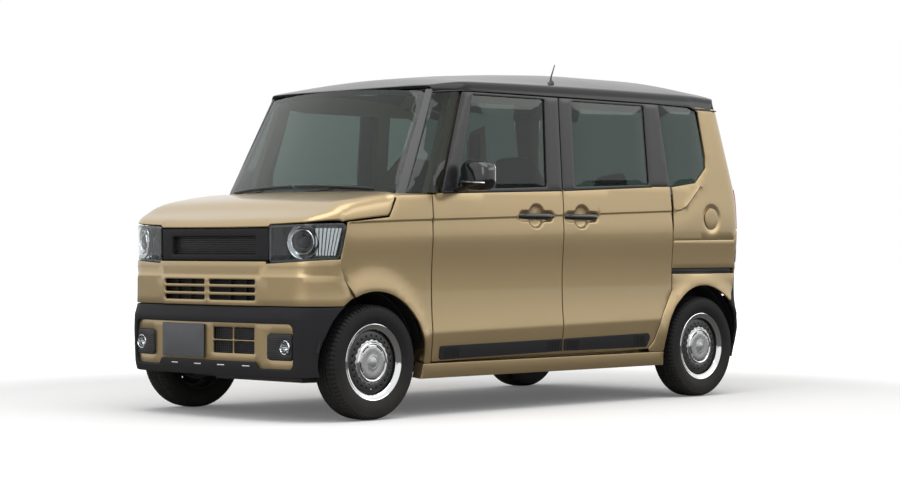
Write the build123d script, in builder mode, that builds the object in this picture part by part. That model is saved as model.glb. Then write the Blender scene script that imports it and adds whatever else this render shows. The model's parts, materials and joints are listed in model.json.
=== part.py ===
from build123d import *

import os
from math import cos, radians, sin, tan

# Kei car: a tall five-door wagon with sliding rear doors, built panel by panel.
# Millimetres. +X points forward, +Y to the car's left, +Z up. The front axle is the datum that every
# x is measured from, and save() puts the origin on the ground midway along the length. Side outlines
# are lists of (x, z) points, front outlines are (y, z) and plan outlines (x, y), all for the left side.
# What lies behind the door pillar is drawn for the standard wheelbase and tail, and aft() stretches it.

# ---- Driving dimensions --------------------------------------------------------------------
LENGTH = 3395.0
WIDTH = 1475.0
WHEELBASE = 2520.0
FRONT_OVERHANG = 460.0
TRACK = 1305.0
TYRE_RADIUS = 278.5
TYRE_WIDTH = 155.0
RIM_RADIUS = 189.0
BEAD_RADIUS = 176.0

FRONT_AXLE_X = 1237.5
NOSE_X = FRONT_AXLE_X + FRONT_OVERHANG
TAIL_X = NOSE_X - LENGTH
MIDDLE_X = (NOSE_X + TAIL_X) / 2
REAR_AXLE_X = FRONT_AXLE_X - WHEELBASE
HALF_WIDTH = WIDTH / 2
WHEEL_Y = TRACK / 2
DRAWN_MEET_X, DRAWN_AXLE_X, DRAWN_TAIL_X = -112.0, -1282.5, -1697.5

# ---- Gaps and thicknesses ------------------------------------------------------------------
DOOR_GAP = 7.0
GLASS_GAP = 0.5
SEAM = 0.5
SEAT_GAP = 0.3
MOVING_GAP = 6.0
SKIN = 9.0
DOOR_DEPTH, FRAME_DEPTH = 68.0, 34.0
QUARTER_DEPTH, QUARTER_FRAME = 56.0, 40.0
RING_LOW, RING_HIGH, RING_THICK = 82.0, 44.0, 40.0
SILL_DEPTH = 110.0
GLASS_IN, GLASS_THICK = 6.0, 5.0
ROOF_THICK = 24.0
BONNET_THICK = 16.0
TAILGATE_THICK = 60.0
BUMPER_THICK = 30.0
LAMP_THICK = 60.0

# ---- Cross-section of the side: half width at named heights --------------------------------
SILL_Z, SILL_Y = 186.0, HALF_WIDTH - 25.5
CREASE_Z, CREASE_Y = 420.0, HALF_WIDTH - 2
WAIST_Z, WAIST_Y = 620.0, HALF_WIDTH - 13.5
SHOULDER_Z, SHOULDER_Y = 860.0, HALF_WIDTH - 1.5
CHEST_Z = 980.0
BELT_Z, BELT_Y = 1098.0, HALF_WIDTH - 8
DRIP_Z, DRIP_Y = 1618.0, HALF_WIDTH - 40.5

# ---- Plan: bowed ends, rounded corners, tail leaning forward above the kink ----------------
END_CURVE = 4000.0
NOSE_CORNER, TAIL_CORNER = 190.0, 105.0
KINK_Z, CAP_Z = 1120.0, 1800.0
TAIL_LEAN = 17.5

# ---- Nose layers: how far each sits behind the guard, and its corner radius -----------------
BUMPER_BACK, BUMPER_CORNER = 22.0, 182.0
INSET_BACK = 30.0
LAMP_BACK, LAMP_CORNER = 42.0, 170.0
GRILLE_BACK = 46.0

# ---- Wheel arches --------------------------------------------------------------------------
ARCH_RADIUS = 335.0
ARCH_Z = 284.0


def aft_x(x):
    """Where a place drawn behind the door pillar lies for this wheelbase and tail."""
    if x > DRAWN_MEET_X:
        return x
    if x > DRAWN_AXLE_X:
        share = (x - DRAWN_MEET_X) / (DRAWN_AXLE_X - DRAWN_MEET_X)
        return DRAWN_MEET_X + share * (REAR_AXLE_X - DRAWN_MEET_X)
    share = (x - DRAWN_AXLE_X) / (DRAWN_TAIL_X - DRAWN_AXLE_X)
    return REAR_AXLE_X + share * (TAIL_X - REAR_AXLE_X)


def aft(points):
    """Side outline with every x put through aft_x."""
    return [(aft_x(x), z) for x, z in points]


def half_plan(nose, tail, side, nose_corner, tail_corner):
    """Left half of the body in plan: bowed ends and rounded corners."""
    bulge = side**2 / (2 * END_CURVE)
    with BuildSketch() as plan:
        with BuildLine():
            Line((tail, 0), (nose, 0))
            ThreePointArc((nose, 0), (nose - bulge / 4, side / 2), (nose - bulge, side))
            Line((nose - bulge, side), (tail + bulge, side))
            ThreePointArc((tail + bulge, side), (tail + bulge / 4, side / 2), (tail, 0))
        make_face()
        fillet(plan.vertices().group_by(Axis.Y)[-1].sort_by(Axis.X)[-1], nose_corner)
        fillet(plan.vertices().sort_by(Axis((tail, side, 0), (1, -1, 0)))[0], tail_corner)
    return plan.sketch


def plan_block(inset, nose_back=0.0, nose_corner=NOSE_CORNER):
    """Left half of the body as a block: upright up to the kink, leaning forward above it."""
    outline = half_plan(
        NOSE_X - nose_back - inset, TAIL_X + inset, HALF_WIDTH - inset,
        nose_corner - inset, TAIL_CORNER - inset,
    )
    lean = radians(TAIL_LEAN)
    with BuildPart() as block:
        with BuildSketch(Plane.XY.offset(SILL_Z)):
            add(outline)
        extrude(amount=KINK_Z - SILL_Z)
        with BuildSketch(Plane.XY.offset(KINK_Z)):
            add(outline)
        extrude(amount=(CAP_Z - KINK_Z) / cos(lean), dir=(sin(lean), 0, cos(lean)))
    return block.part


def hull(low, high, nose_back=0.0, nose_corner=NOSE_CORNER):
    """Left half of the body below the roof, moved in by low under the belt and by high over it."""
    outline = plan_block(min(low, high), nose_back, nose_corner)
    with BuildPart() as half:
        with BuildSketch(Plane.YZ.offset(TAIL_X)):
            with BuildLine():
                Polyline((0, DRIP_Z), (0, SILL_Z), (SILL_Y - low, SILL_Z), (CREASE_Y - low, CREASE_Z))
                ThreePointArc(
                    (CREASE_Y - low, CREASE_Z), (WAIST_Y - low, WAIST_Z), (SHOULDER_Y - low, SHOULDER_Z)
                )
                ThreePointArc(
                    (SHOULDER_Y - low, SHOULDER_Z), (HALF_WIDTH - low, CHEST_Z), (BELT_Y - low, BELT_Z)
                )
                if low != high:
                    Line((BELT_Y - low, BELT_Z), (BELT_Y - high, BELT_Z))
                Polyline((BELT_Y - high, BELT_Z), (DRIP_Y - high, DRIP_Z), (0, DRIP_Z))
            make_face()
        extrude(amount=LENGTH)
        add(outline, mode=Mode.INTERSECT)
    return half.part


def wall(outer, inner):
    """What lies between two hulls."""
    with BuildPart() as shell:
        add(outer)
        add(inner, mode=Mode.SUBTRACT)
    return shell.part


def side_prism(points, radius=0.0):
    """Prism across the car from a side outline."""
    with BuildPart() as prism:
        with BuildSketch(Plane.XZ) as face:
            Polygon(*points, align=None)
            if radius:
                fillet(face.vertices(), radius)
        extrude(amount=WIDTH, both=True)
    return prism.part


def front_prism(points, x_low=TAIL_X - 50, x_high=NOSE_X + 50, radius=0.0):
    """Prism along the car from a front outline."""
    with BuildPart() as prism:
        with BuildSketch(Plane.YZ.offset(x_low)) as face:
            Polygon(*points, align=None)
            if radius:
                fillet(face.vertices(), radius)
        extrude(amount=x_high - x_low)
    return prism.part


def plan_prism(points, z_low, z_high, radius=0.0):
    """Upright prism from a plan outline."""
    with BuildPart() as prism:
        with BuildSketch(Plane.XY.offset(z_low)) as face:
            Polygon(*points, align=None)
            if radius:
                fillet(face.vertices(), radius)
        extrude(amount=z_high - z_low)
    return prism.part


def round_bar(x, z, radius, y_low, y_high):
    """Cylinder across the car."""
    with BuildPart() as bar:
        with BuildSketch(Plane.XZ.offset(-y_high)):
            with Locations((x, z)):
                Circle(radius)
        extrude(amount=y_high - y_low)
    return bar.part


def box(x, y, z):
    """Block from its (low, high) pairs along each axis."""
    corners = [(x[0], y[0]), (x[1], y[0]), (x[1], y[1]), (x[0], y[1])]
    return plan_prism(corners, z[0], z[1])


def both_halves(half):
    """A solid joined to its mirror image."""
    with BuildPart() as whole:
        add(half)
        mirror(about=Plane.XZ)
    return whole.part


def mirrored(solid):
    """The same piece on the car's right side."""
    return mirror(solid, about=Plane.XZ)


def save(solids, name):
    """Label a piece, or like pieces that don't touch, and write the STEP file."""
    placed = [solid.moved(Location((-MIDDLE_X, 0, 0))) for group in solids for solid in group.solids()]
    piece = placed[0] if len(placed) == 1 else Compound(children=placed)
    piece.label = name
    export_step(piece, os.path.join("parts", name + ".step"))


os.makedirs("parts", exist_ok=True)

OUTER = hull(0, 0)
SKIN_WALL = wall(OUTER, hull(SKIN, SKIN))
DOOR_WALL = wall(OUTER, hull(DOOR_DEPTH, FRAME_DEPTH))
QUARTER_WALL = wall(OUTER, hull(QUARTER_DEPTH, QUARTER_FRAME))
RING_WALL = wall(hull(RING_LOW, RING_HIGH), hull(RING_LOW + RING_THICK, RING_HIGH + RING_THICK))
GLASS_WALL = wall(hull(GLASS_IN, GLASS_IN), hull(GLASS_IN + GLASS_THICK, GLASS_IN + GLASS_THICK))
FRONT_ARCH = round_bar(FRONT_AXLE_X, ARCH_Z, ARCH_RADIUS, 0, HALF_WIDTH)
REAR_ARCH = round_bar(REAR_AXLE_X, ARCH_Z, ARCH_RADIUS, 0, HALF_WIDTH)

# ---- Windscreen ----------------------------------------------------------------------------
SCREEN_X, SCREEN_Z, SCREEN_RAKE = 1100.0, 1108.0, 28.5
SCREEN_BASE_Z, SCREEN_THICK = 1060.0, 7.0
SCREEN_LOW, SCREEN_HIGH = (HALF_WIDTH - 95.5, 1120.0), (HALF_WIDTH - 140.5, 1626.0)
rake = radians(SCREEN_RAKE)
foot_x = SCREEN_X + (SCREEN_Z - SCREEN_BASE_Z) * tan(rake)
screen_bulge = SCREEN_LOW[0]**2 / (2 * END_CURVE)
with BuildPart() as windscreen:
    with BuildSketch(Plane.XY.offset(SCREEN_BASE_Z)):
        with BuildLine():
            arc = ThreePointArc(
                (foot_x - screen_bulge, -SCREEN_LOW[0]), (foot_x, 0), (foot_x - screen_bulge, SCREEN_LOW[0])
            )
            Line(arc @ 1, (foot_x - screen_bulge - SCREEN_THICK, SCREEN_LOW[0]))
            ThreePointArc(
                (foot_x - screen_bulge - SCREEN_THICK, SCREEN_LOW[0]), (foot_x - SCREEN_THICK, 0),
                (foot_x - screen_bulge - SCREEN_THICK, -SCREEN_LOW[0]),
            )
            Line((foot_x - screen_bulge - SCREEN_THICK, -SCREEN_LOW[0]), arc @ 0)
        make_face()
    extrude(amount=700, dir=(-sin(rake), 0, cos(rake)))
    add(
        front_prism([
            (-SCREEN_LOW[0], SCREEN_LOW[1]), SCREEN_LOW, SCREEN_HIGH, (-SCREEN_HIGH[0], SCREEN_HIGH[1]),
        ]),
        mode=Mode.INTERSECT,
    )
save([windscreen.part], "windscreen")

# ---- Roof ----------------------------------------------------------------------------------
RAIL_Y = HALF_WIDTH - 53.5
ROOF_BASE_Z = 1590.0
ROOF_LOW_Z = 1616.0
ROOF_SECTIONS = [  # x, height of the crown, height of the rail
    (875, 1619, 1608), (760, 1652, 1641), (578, 1703, 1664), (130, 1750, 1669),
    (aft_x(-600), 1788, 1671), (aft_x(-1250), 1788, 1670), (aft_x(-1560), 1746, 1655),
]
HEADER_X, HEADER_CORNER = 815.0, (768.0, HALF_WIDTH - 127.5)
ROOF_SHOULDER = (858.0, HALF_WIDTH - 37.5)
HATCH_X, HATCH_Y = aft_x(-1412.0), HALF_WIDTH - 111.5


def roof_block(inset):
    """The roof as a block from side to side, moved in by inset."""
    with BuildPart() as block:
        for x, crown, rail in ROOF_SECTIONS:
            with BuildSketch(Plane.YZ.offset(x)):
                with BuildLine():
                    low = (DRIP_Y + 2 - inset, ROOF_BASE_Z - inset)
                    top = (RAIL_Y - inset, rail - inset)
                    Polyline((-top[0], top[1]), (-low[0], low[1]), low, top)
                    ThreePointArc(top, (0, crown - inset), (-top[0], top[1]))
                make_face()
        loft(ruled=True)
    return block.part


GATE_HINGE, GATE_HINGE_Y = (aft_x(-1475.0), 1748.0), 200.0
TONGUE_WIDTH, TONGUE_RADIUS, TONGUE_ROOT = 30.0, 8.0, 12.0
GATE_PIN, PIN_GAP = 4.0, 0.08
tongue_low, tongue_high = GATE_HINGE[1] - TONGUE_RADIUS, GATE_HINGE[1] + TONGUE_RADIUS

ROOF_SHELL = wall(roof_block(0), roof_block(ROOF_THICK))
FULL_PLAN = both_halves(plan_block(0))

with BuildPart() as roof_panel:
    add(ROOF_SHELL)
    add(FULL_PLAN, mode=Mode.INTERSECT)
    with BuildSketch(Plane.XY.offset(ROOF_LOW_Z)):
        with BuildLine():
            ThreePointArc(
                (HEADER_CORNER[0], -HEADER_CORNER[1]), (HEADER_X, 0), HEADER_CORNER
            )
            Polyline(
                HEADER_CORNER, ROOF_SHOULDER, (TAIL_X, ROOF_SHOULDER[1]), (TAIL_X, -ROOF_SHOULDER[1]),
                (ROOF_SHOULDER[0], -ROOF_SHOULDER[1]), (HEADER_CORNER[0], -HEADER_CORNER[1]),
            )
        make_face()
    extrude(amount=300, mode=Mode.INTERSECT)
    add(box((TAIL_X, HATCH_X), (-HATCH_Y, HATCH_Y), (ROOF_LOW_Z - 10, CAP_Z)), mode=Mode.SUBTRACT)
    add(windscreen.part, mode=Mode.SUBTRACT)
    for y in (-GATE_HINGE_Y, GATE_HINGE_Y):
        with BuildSketch(Plane.XZ.offset(-(y - TONGUE_WIDTH / 2))):
            with BuildLine():
                Polyline(
                    (GATE_HINGE[0], tongue_low), (HATCH_X + TONGUE_ROOT, tongue_low),
                    (HATCH_X + TONGUE_ROOT, tongue_high), (GATE_HINGE[0], tongue_high),
                )
                RadiusArc((GATE_HINGE[0], tongue_high), (GATE_HINGE[0], tongue_low), -TONGUE_RADIUS)
            make_face()
            with Locations(GATE_HINGE):
                Circle(GATE_PIN + PIN_GAP, mode=Mode.SUBTRACT)
        extrude(amount=-TONGUE_WIDTH)
save([roof_panel.part], "roof_panel")

# ---- Doors and windows: side outlines ------------------------------------------------------
DOOR_FRONT_X, DOOR_MEET_X = 849.0, DRAWN_MEET_X
DOOR_LOW_Z, DOOR_HIGH_Z = 268.0, 1610.0
SLAB_TOP_Z = 1091.0
FENDER_REAR_X, FENDER_TOP_Z = DOOR_FRONT_X + 8, 1096.0

FRONT_DOOR_EDGE = [
    (DOOR_FRONT_X, DOOR_LOW_Z), (DOOR_FRONT_X, SLAB_TOP_Z), (781, SLAB_TOP_Z + 4), (600, DOOR_HIGH_Z),
    (DOOR_MEET_X + DOOR_GAP / 2, DOOR_HIGH_Z), (DOOR_MEET_X + DOOR_GAP / 2, 283),
]
REAR_DOOR_EDGE = aft([
    (DOOR_MEET_X - DOOR_GAP / 2, 283), (DOOR_MEET_X - DOOR_GAP / 2, DOOR_HIGH_Z), (-930, DOOR_HIGH_Z),
    (-1000, 1162), (-1011, 871), (-1014, 594), (-921, 457), (-858, 321), (-813, 279),
])
FRONT_WINDOW = [(675, 1116), (534, 1600), (-4, 1600), (8, 1141)]
REAR_WINDOW = aft([(-209, 1146), (-213, 1600), (-806, 1600), (-822, 1168)])
FIXED_PANE = [(1034, FENDER_TOP_Z), (830, 1615.5), (608, 1615.5), (792, FENDER_TOP_Z)]
QUARTER_PANE = aft([
    (-1006, 1166), (-940, 1598), (-1236, 1598), (-1268, 1580), (-1318, 1330), (-1315, 1275), (-1225, 1193),
])
WINDOW_FILLET = 14.0

HANDLE_Z = 990.0
FRONT_HANDLE_X, REAR_HANDLE_X = 98.0, aft_x(-256.0)
CUP_RADIUS, CUP_DEPTH = 68.0, 16.0
CUP_SLOT = (278.0, 66.0)
HANDLE_LENGTH, HANDLE_HEIGHT = 250.0, 34.0
MOULDING_PROUD = 7.0
FRONT_MOULDING = [(802, 271), (802, 345), (-98, 355), (-98, 289)]
REAR_MOULDING = aft([(-126, 289), (-126, 355), (-840, 367), (-795, 288)])


def pane(outline):
    """Sheet of glass that just fits a window outline."""
    with BuildPart() as sheet:
        add(GLASS_WALL)
        with BuildSketch(Plane.XZ) as face:
            Polygon(*outline, align=None)
            fillet(face.vertices(), WINDOW_FILLET)
            offset(amount=-GLASS_GAP)
        extrude(amount=WIDTH, both=True, mode=Mode.INTERSECT)
    return sheet.part


def moulding(outline):
    """Rubbing strip: a raised band that follows the side."""
    with BuildPart() as strip:
        add(OUTER)
        add(side_prism(outline), mode=Mode.INTERSECT)
        add(hull(SKIN, SKIN), mode=Mode.SUBTRACT)
    return Pos(0, MOULDING_PROUD, 0) * strip.part


RAIL_ARMS = aft([(-205.0, 305.0), (-960.0, 675.0)])
rail_wall = wall(hull(60, 60), hull(RING_LOW - SEAT_GAP, RING_LOW - SEAT_GAP))
with BuildPart() as rail_arm_pair:
    for x, z in RAIL_ARMS:
        add(side_prism([(x - 20, z - 15), (x + 20, z - 15), (x + 20, z + 15), (x - 20, z + 15)]))
    add(rail_wall, mode=Mode.INTERSECT)
rail_arms = rail_arm_pair.part


def door(edge, window, handle_x, strip, hinge_cut):
    """Door slab with its window frame, handle, cup and rubbing strip."""
    with BuildPart() as cup:
        with BuildSketch(Plane.XZ.offset(-HALF_WIDTH - 5)):
            with Locations((handle_x, HANDLE_Z)):
                Circle(CUP_RADIUS)
                SlotOverall(*CUP_SLOT)
        extrude(amount=CUP_DEPTH + 5)
    with BuildPart() as grip:
        with BuildSketch(Plane.XZ.offset(-HALF_WIDTH - 2)):
            with Locations((handle_x, HANDLE_Z)):
                SlotOverall(HANDLE_LENGTH, HANDLE_HEIGHT)
        extrude(amount=CUP_DEPTH + 4)
    with BuildPart() as leaf:
        add(DOOR_WALL)
        add(side_prism(edge), mode=Mode.INTERSECT)
        add(side_prism(window, WINDOW_FILLET), mode=Mode.SUBTRACT)
        add(cup.part, mode=Mode.SUBTRACT)
        add(grip.part)
        add(strip)
        if hinge_cut:
            add(hinge_cut, mode=Mode.SUBTRACT)
            for z in HINGE_HEIGHTS:
                notch_z = (z - MOVING_GAP, z + LEAF_THICK + EYE_HEIGHT + 2 * MOVING_GAP)
                notch_y = (NOTCH_Y - NOTCH_DEPTH, NOTCH_Y)
                add(box((NOTCH_REAR_X, DOOR_FRONT_X), notch_y, notch_z), mode=Mode.SUBTRACT)
                with BuildSketch(Plane.XY.offset(z + LEAF_THICK + SEAT_GAP)):
                    with Locations((HINGE_X, HINGE_Y)):
                        Circle(EYE_RADIUS)
                    Polygon(
                        (NOTCH_REAR_X - 4, HINGE_Y - EYE_RADIUS), (HINGE_X, HINGE_Y - EYE_RADIUS),
                        (HINGE_X, HINGE_Y + EYE_RADIUS), (NOTCH_REAR_X - 4, HINGE_Y + EYE_RADIUS), align=None,
                    )
                    with Locations((HINGE_X, HINGE_Y)):
                        Circle(HINGE_PIN + PIN_GAP, mode=Mode.SUBTRACT)
                extrude(amount=EYE_HEIGHT)
        else:
            add(rail_arms)
    return leaf.part


HINGE_X, HINGE_Y, HINGE_HEIGHTS = 797.0, HALF_WIDTH - 23.5, (400.0, 880.0)
HINGE_PIN, EYE_RADIUS, LEAF_THICK, EYE_HEIGHT = 6.0, 11.0, 12.0, 22.0
NOTCH_REAR_X, NOTCH_Y, NOTCH_DEPTH = 779.0, HALF_WIDTH - 10.5, 127.0
HINGE_CUT_Y = HINGE_Y - 13
HINGE_CUT_EDGE = [
    (850, HINGE_CUT_Y), (799, HINGE_CUT_Y - 51), (799, HINGE_CUT_Y - 101), (900, HINGE_CUT_Y - 101),
    (900, HINGE_CUT_Y),
]
HINGE_CUT = plan_prism(HINGE_CUT_EDGE, SILL_Z, SLAB_TOP_Z + 10)
front_door_left = door(FRONT_DOOR_EDGE, FRONT_WINDOW, FRONT_HANDLE_X, moulding(FRONT_MOULDING), HINGE_CUT)
rear_door_left = door(REAR_DOOR_EDGE, REAR_WINDOW, REAR_HANDLE_X, moulding(REAR_MOULDING), None)
save([front_door_left], "front_door_left")
save([mirrored(front_door_left)], "front_door_right")
save([rear_door_left, mirrored(rear_door_left)], "rear_doors")

front_glass = pane(FRONT_WINDOW)
save([front_glass], "front_door_glass_left")
save([mirrored(front_glass)], "front_door_glass_right")
rear_glass = pane(REAR_WINDOW)
save([rear_glass, mirrored(rear_glass)], "rear_door_glass")
fixed_glass = [pane(FIXED_PANE), pane(QUARTER_PANE)]
save(fixed_glass + [mirrored(g) for g in fixed_glass], "fixed_side_glass")

# ---- Door mirrors --------------------------------------------------------------------------
MIRROR_X, MIRROR_Y, MIRROR_Z = 605.0, HALF_WIDTH + 107.5, 1186.0
MIRROR_WIDTH, MIRROR_HEIGHT, MIRROR_DEPTH, MIRROR_CORNER = 190.0, 150.0, 95.0, 30.0
MIRROR_FOOT_X, MIRROR_FOOT_Y, MIRROR_FOOT, MIRROR_FOOT_HEIGHT = 650.0, HALF_WIDTH + 4.5, (90.0, 44.0), 34.0
with BuildPart() as mirror_left:
    with BuildSketch(Plane.YZ.offset(MIRROR_X)):
        with Locations((MIRROR_Y, MIRROR_Z)):
            RectangleRounded(MIRROR_WIDTH, MIRROR_HEIGHT, MIRROR_CORNER)
    extrude(amount=MIRROR_DEPTH)
    fillet(mirror_left.faces().sort_by(Axis.X)[-1].edges(), MIRROR_CORNER)
    with BuildSketch(Plane.XY.offset(BELT_Z)):
        with Locations((MIRROR_FOOT_X, MIRROR_FOOT_Y)):
            Rectangle(*MIRROR_FOOT)
    extrude(amount=MIRROR_FOOT_HEIGHT)
    add(hull(0, 0), mode=Mode.SUBTRACT)
save([mirror_left.part], "mirror_left")
save([mirrored(mirror_left.part)], "mirror_right")

# ---- Body sides ----------------------------------------------------------------------------
SILL_TOP_Z, SILL_X = 262.0, (aft_x(-955), 925.0)
PILLAR_LOW_Z = 1090.0
NOSE_SEAM = [(1462, 775), (1459, 725), (1434, 676), (1376, 600)]
FENDER_EDGE = [
    (FENDER_REAR_X, SILL_TOP_Z), (FENDER_REAR_X, FENDER_TOP_Z), (1036, FENDER_TOP_Z), (1036, PILLAR_LOW_Z),
    (1084, PILLAR_LOW_Z), (1094, 1080), (1146, 970), (1424, 944), *NOSE_SEAM, (1300, 400), (1000, SILL_TOP_Z),
]
with BuildPart() as front_fender:
    add(SKIN_WALL)
    add(side_prism(FENDER_EDGE), mode=Mode.INTERSECT)
    add(FRONT_ARCH, mode=Mode.SUBTRACT)
save([front_fender.part, mirrored(front_fender.part)], "front_fenders")

with BuildPart() as side_sill:
    add(OUTER)
    add(box(SILL_X, (HALF_WIDTH - SILL_DEPTH, HALF_WIDTH), (SILL_Z, SILL_TOP_Z)), mode=Mode.INTERSECT)
    add(FRONT_ARCH, mode=Mode.SUBTRACT)
    add(REAR_ARCH, mode=Mode.SUBTRACT)
save([side_sill.part, mirrored(side_sill.part)], "side_sills")

LAMP_LOW_Z, LAMP_HIGH_Z, LAMP_FRONT_X, LAMP_IN_Y = 745.0, 1234.0, TAIL_X + 101.5, HATCH_Y
FUEL_X, FUEL_Z, FUEL_RADIUS, FUEL_DEPTH = aft_x(-1357.0), 990.0, 58.0, 20.0
TAIL_SEAM = [(TAIL_X, 677.5), (TAIL_X + 91.5, 677.5), (TAIL_X + 186.5, 528)]
QUARTER_EDGE = [
    (aft_x(-937), ROOF_LOW_Z), (TAIL_X, ROOF_LOW_Z), *TAIL_SEAM, (REAR_AXLE_X, ARCH_Z),
    (aft_x(-1100), SILL_TOP_Z), (aft_x(-835), SILL_TOP_Z),
    *[(x - DOOR_GAP, z) for x, z in REAR_DOOR_EDGE[:2:-1]],
]
RAIL_SLOT = [(aft_x(-1021), 684), (aft_x(-1596), 684), (aft_x(-1596), 716), (aft_x(-1021), 716)]
RAIL_DEPTH = 24.0
LID_THICK, LID_SUNK = 8.0, 2.5
LID_STOP = (48.0, 38.0)
LID_BACK_Y = HALF_WIDTH - LID_SUNK - LID_THICK
LID_POCKET = round_bar(FUEL_X, FUEL_Z, FUEL_RADIUS + 5, HALF_WIDTH - FUEL_DEPTH, HALF_WIDTH + 5)
with BuildPart() as quarter_panel:
    add(QUARTER_WALL)
    add(side_prism(QUARTER_EDGE), mode=Mode.INTERSECT)
    add(side_prism(QUARTER_PANE, WINDOW_FILLET), mode=Mode.SUBTRACT)
    add(REAR_ARCH, mode=Mode.SUBTRACT)
    add(box((TAIL_X, LAMP_FRONT_X), (500, HALF_WIDTH), (LAMP_LOW_Z, LAMP_HIGH_Z)), mode=Mode.SUBTRACT)
    add(box((TAIL_X, aft_x(-1450)), (0, LAMP_IN_Y), (SILL_Z, DRIP_Z)), mode=Mode.SUBTRACT)
    add(LID_POCKET, mode=Mode.SUBTRACT)
    with BuildSketch(Plane.XZ.offset(-HALF_WIDTH)):
        Polygon(*RAIL_SLOT, align=None)
    extrude(amount=RAIL_DEPTH, mode=Mode.SUBTRACT)
    with BuildSketch(Plane.XZ.offset(FUEL_DEPTH + 1 - HALF_WIDTH)):
        with Locations((FUEL_X, FUEL_Z)):
            Circle(LID_STOP[0])
            Circle(LID_STOP[1], mode=Mode.SUBTRACT)
    extrude(amount=-(LID_BACK_Y - SEAT_GAP - HALF_WIDTH + FUEL_DEPTH + 1))
save([quarter_panel.part, mirrored(quarter_panel.part)], "quarter_panels")

with BuildPart() as tail_lamp:
    add(OUTER)
    add(
        box((TAIL_X, LAMP_FRONT_X - SEAM), (LAMP_IN_Y, HALF_WIDTH), (LAMP_LOW_Z + SEAM, LAMP_HIGH_Z - SEAM)),
        mode=Mode.INTERSECT,
    )
    add(hull(QUARTER_DEPTH, QUARTER_DEPTH), mode=Mode.SUBTRACT)
save([tail_lamp.part, mirrored(tail_lamp.part)], "tail_lamps")

# ---- Frame round the door openings ---------------------------------------------------------
RING_EDGE = aft([
    (850, SILL_TOP_Z), (850, 1080), (650, 1605), (-925, 1605), (-985, 1162), (-985, 600),
    (-900, 440), (-835, 300), (-835, SILL_TOP_Z),
])
FRONT_OPENING = [(775, 320), (775, 1070), (590, 1560), (-70, 1560), (-70, 320)]
REAR_OPENING = aft([
    (-155, 320), (-155, 1560), (-885, 1560), (-935, 1162), (-935, 610), (-850, 450), (-790, 320),
])
with BuildPart() as side_frame:
    add(RING_WALL)
    add(side_prism(RING_EDGE), mode=Mode.INTERSECT)
    add(side_prism(FRONT_OPENING), mode=Mode.SUBTRACT)
    add(side_prism(REAR_OPENING), mode=Mode.SUBTRACT)
    for z in HINGE_HEIGHTS:
        with BuildSketch(Plane.XY.offset(z)):
            Polygon(
                (HINGE_X - 7, HINGE_Y - 89), (HINGE_X + 33, HINGE_Y - 89), (HINGE_X + 10, HINGE_Y),
                (HINGE_X - 10, HINGE_Y), align=None,
            )
            with Locations((HINGE_X, HINGE_Y)):
                Circle(EYE_RADIUS)
        extrude(amount=LEAF_THICK)
        with BuildSketch(Plane.XY.offset(z)):
            with Locations((HINGE_X, HINGE_Y)):
                Circle(HINGE_PIN)
        extrude(amount=LEAF_THICK + EYE_HEIGHT + MOVING_GAP)
save([side_frame.part, mirrored(side_frame.part)], "side_frames")

PILLAR_FOOT = [(x, HALF_WIDTH - d) for x, d in [(1078, 10.5), (1048, 87.5), (1014, 82.5), (1046, 21.5)]]
PILLAR_HEAD = [(x, HALF_WIDTH - d) for x, d in [(866, 41.5), (786, 131.5), (756, 125.5), (832, 49.5)]]
with BuildPart() as a_pillar:
    with BuildSketch(Plane.XY.offset(PILLAR_LOW_Z)):
        Polygon(*PILLAR_FOOT, align=None)
    with BuildSketch(Plane.XY.offset(ROOF_LOW_Z)):
        Polygon(*PILLAR_HEAD, align=None)
    loft(ruled=True)
save([a_pillar.part, mirrored(a_pillar.part)], "a_pillars")

# ---- Bonnet --------------------------------------------------------------------------------
BONNET_SECTIONS = [  # x, height of the shoulder line
    (1112, 1100), (1231, 1087), (1374, 1063), (1449, 1043), (1520, 1006), (1600, 968), (1680, 912),
]
BONNET_SIDE_LOW = [
    (1000, 700), (1000, 1062), (1112, 1062), (1152, 979), (1432, 957), (1800, 957), (1800, 700),
]
BONNET_LIP_Z, LIP_Y = 921.0, 394.0
BONNET_SHOULDER, BONNET_CROWN = 45.0, 12.0
BONNET_Y = HALF_WIDTH - 10.5


def bonnet_block(inset):
    """The bonnet as a block from side to side, its top, sides and nose moved in by inset."""
    edge, round_off = BONNET_Y - inset, BONNET_SHOULDER
    with BuildPart() as block:
        for x, shoulder in BONNET_SECTIONS:
            top = shoulder - inset
            half = [
                (edge, 700), (edge, top - round_off), (edge - round_off * 0.3, top - round_off * 0.3),
                (edge - round_off, top), (edge / 2, top + BONNET_CROWN * 0.75),
            ]
            with BuildSketch(Plane.YZ.offset(x)):
                Polygon(*half, (0, top + BONNET_CROWN), *[(-y, z) for y, z in half[::-1]], align=None)
        loft(ruled=True)
    return block.part


def nose_block(inset):
    """Both halves of the plan at the lamps' depth."""
    return both_halves(plan_block(inset, LAMP_BACK - 2, LAMP_CORNER))


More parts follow.
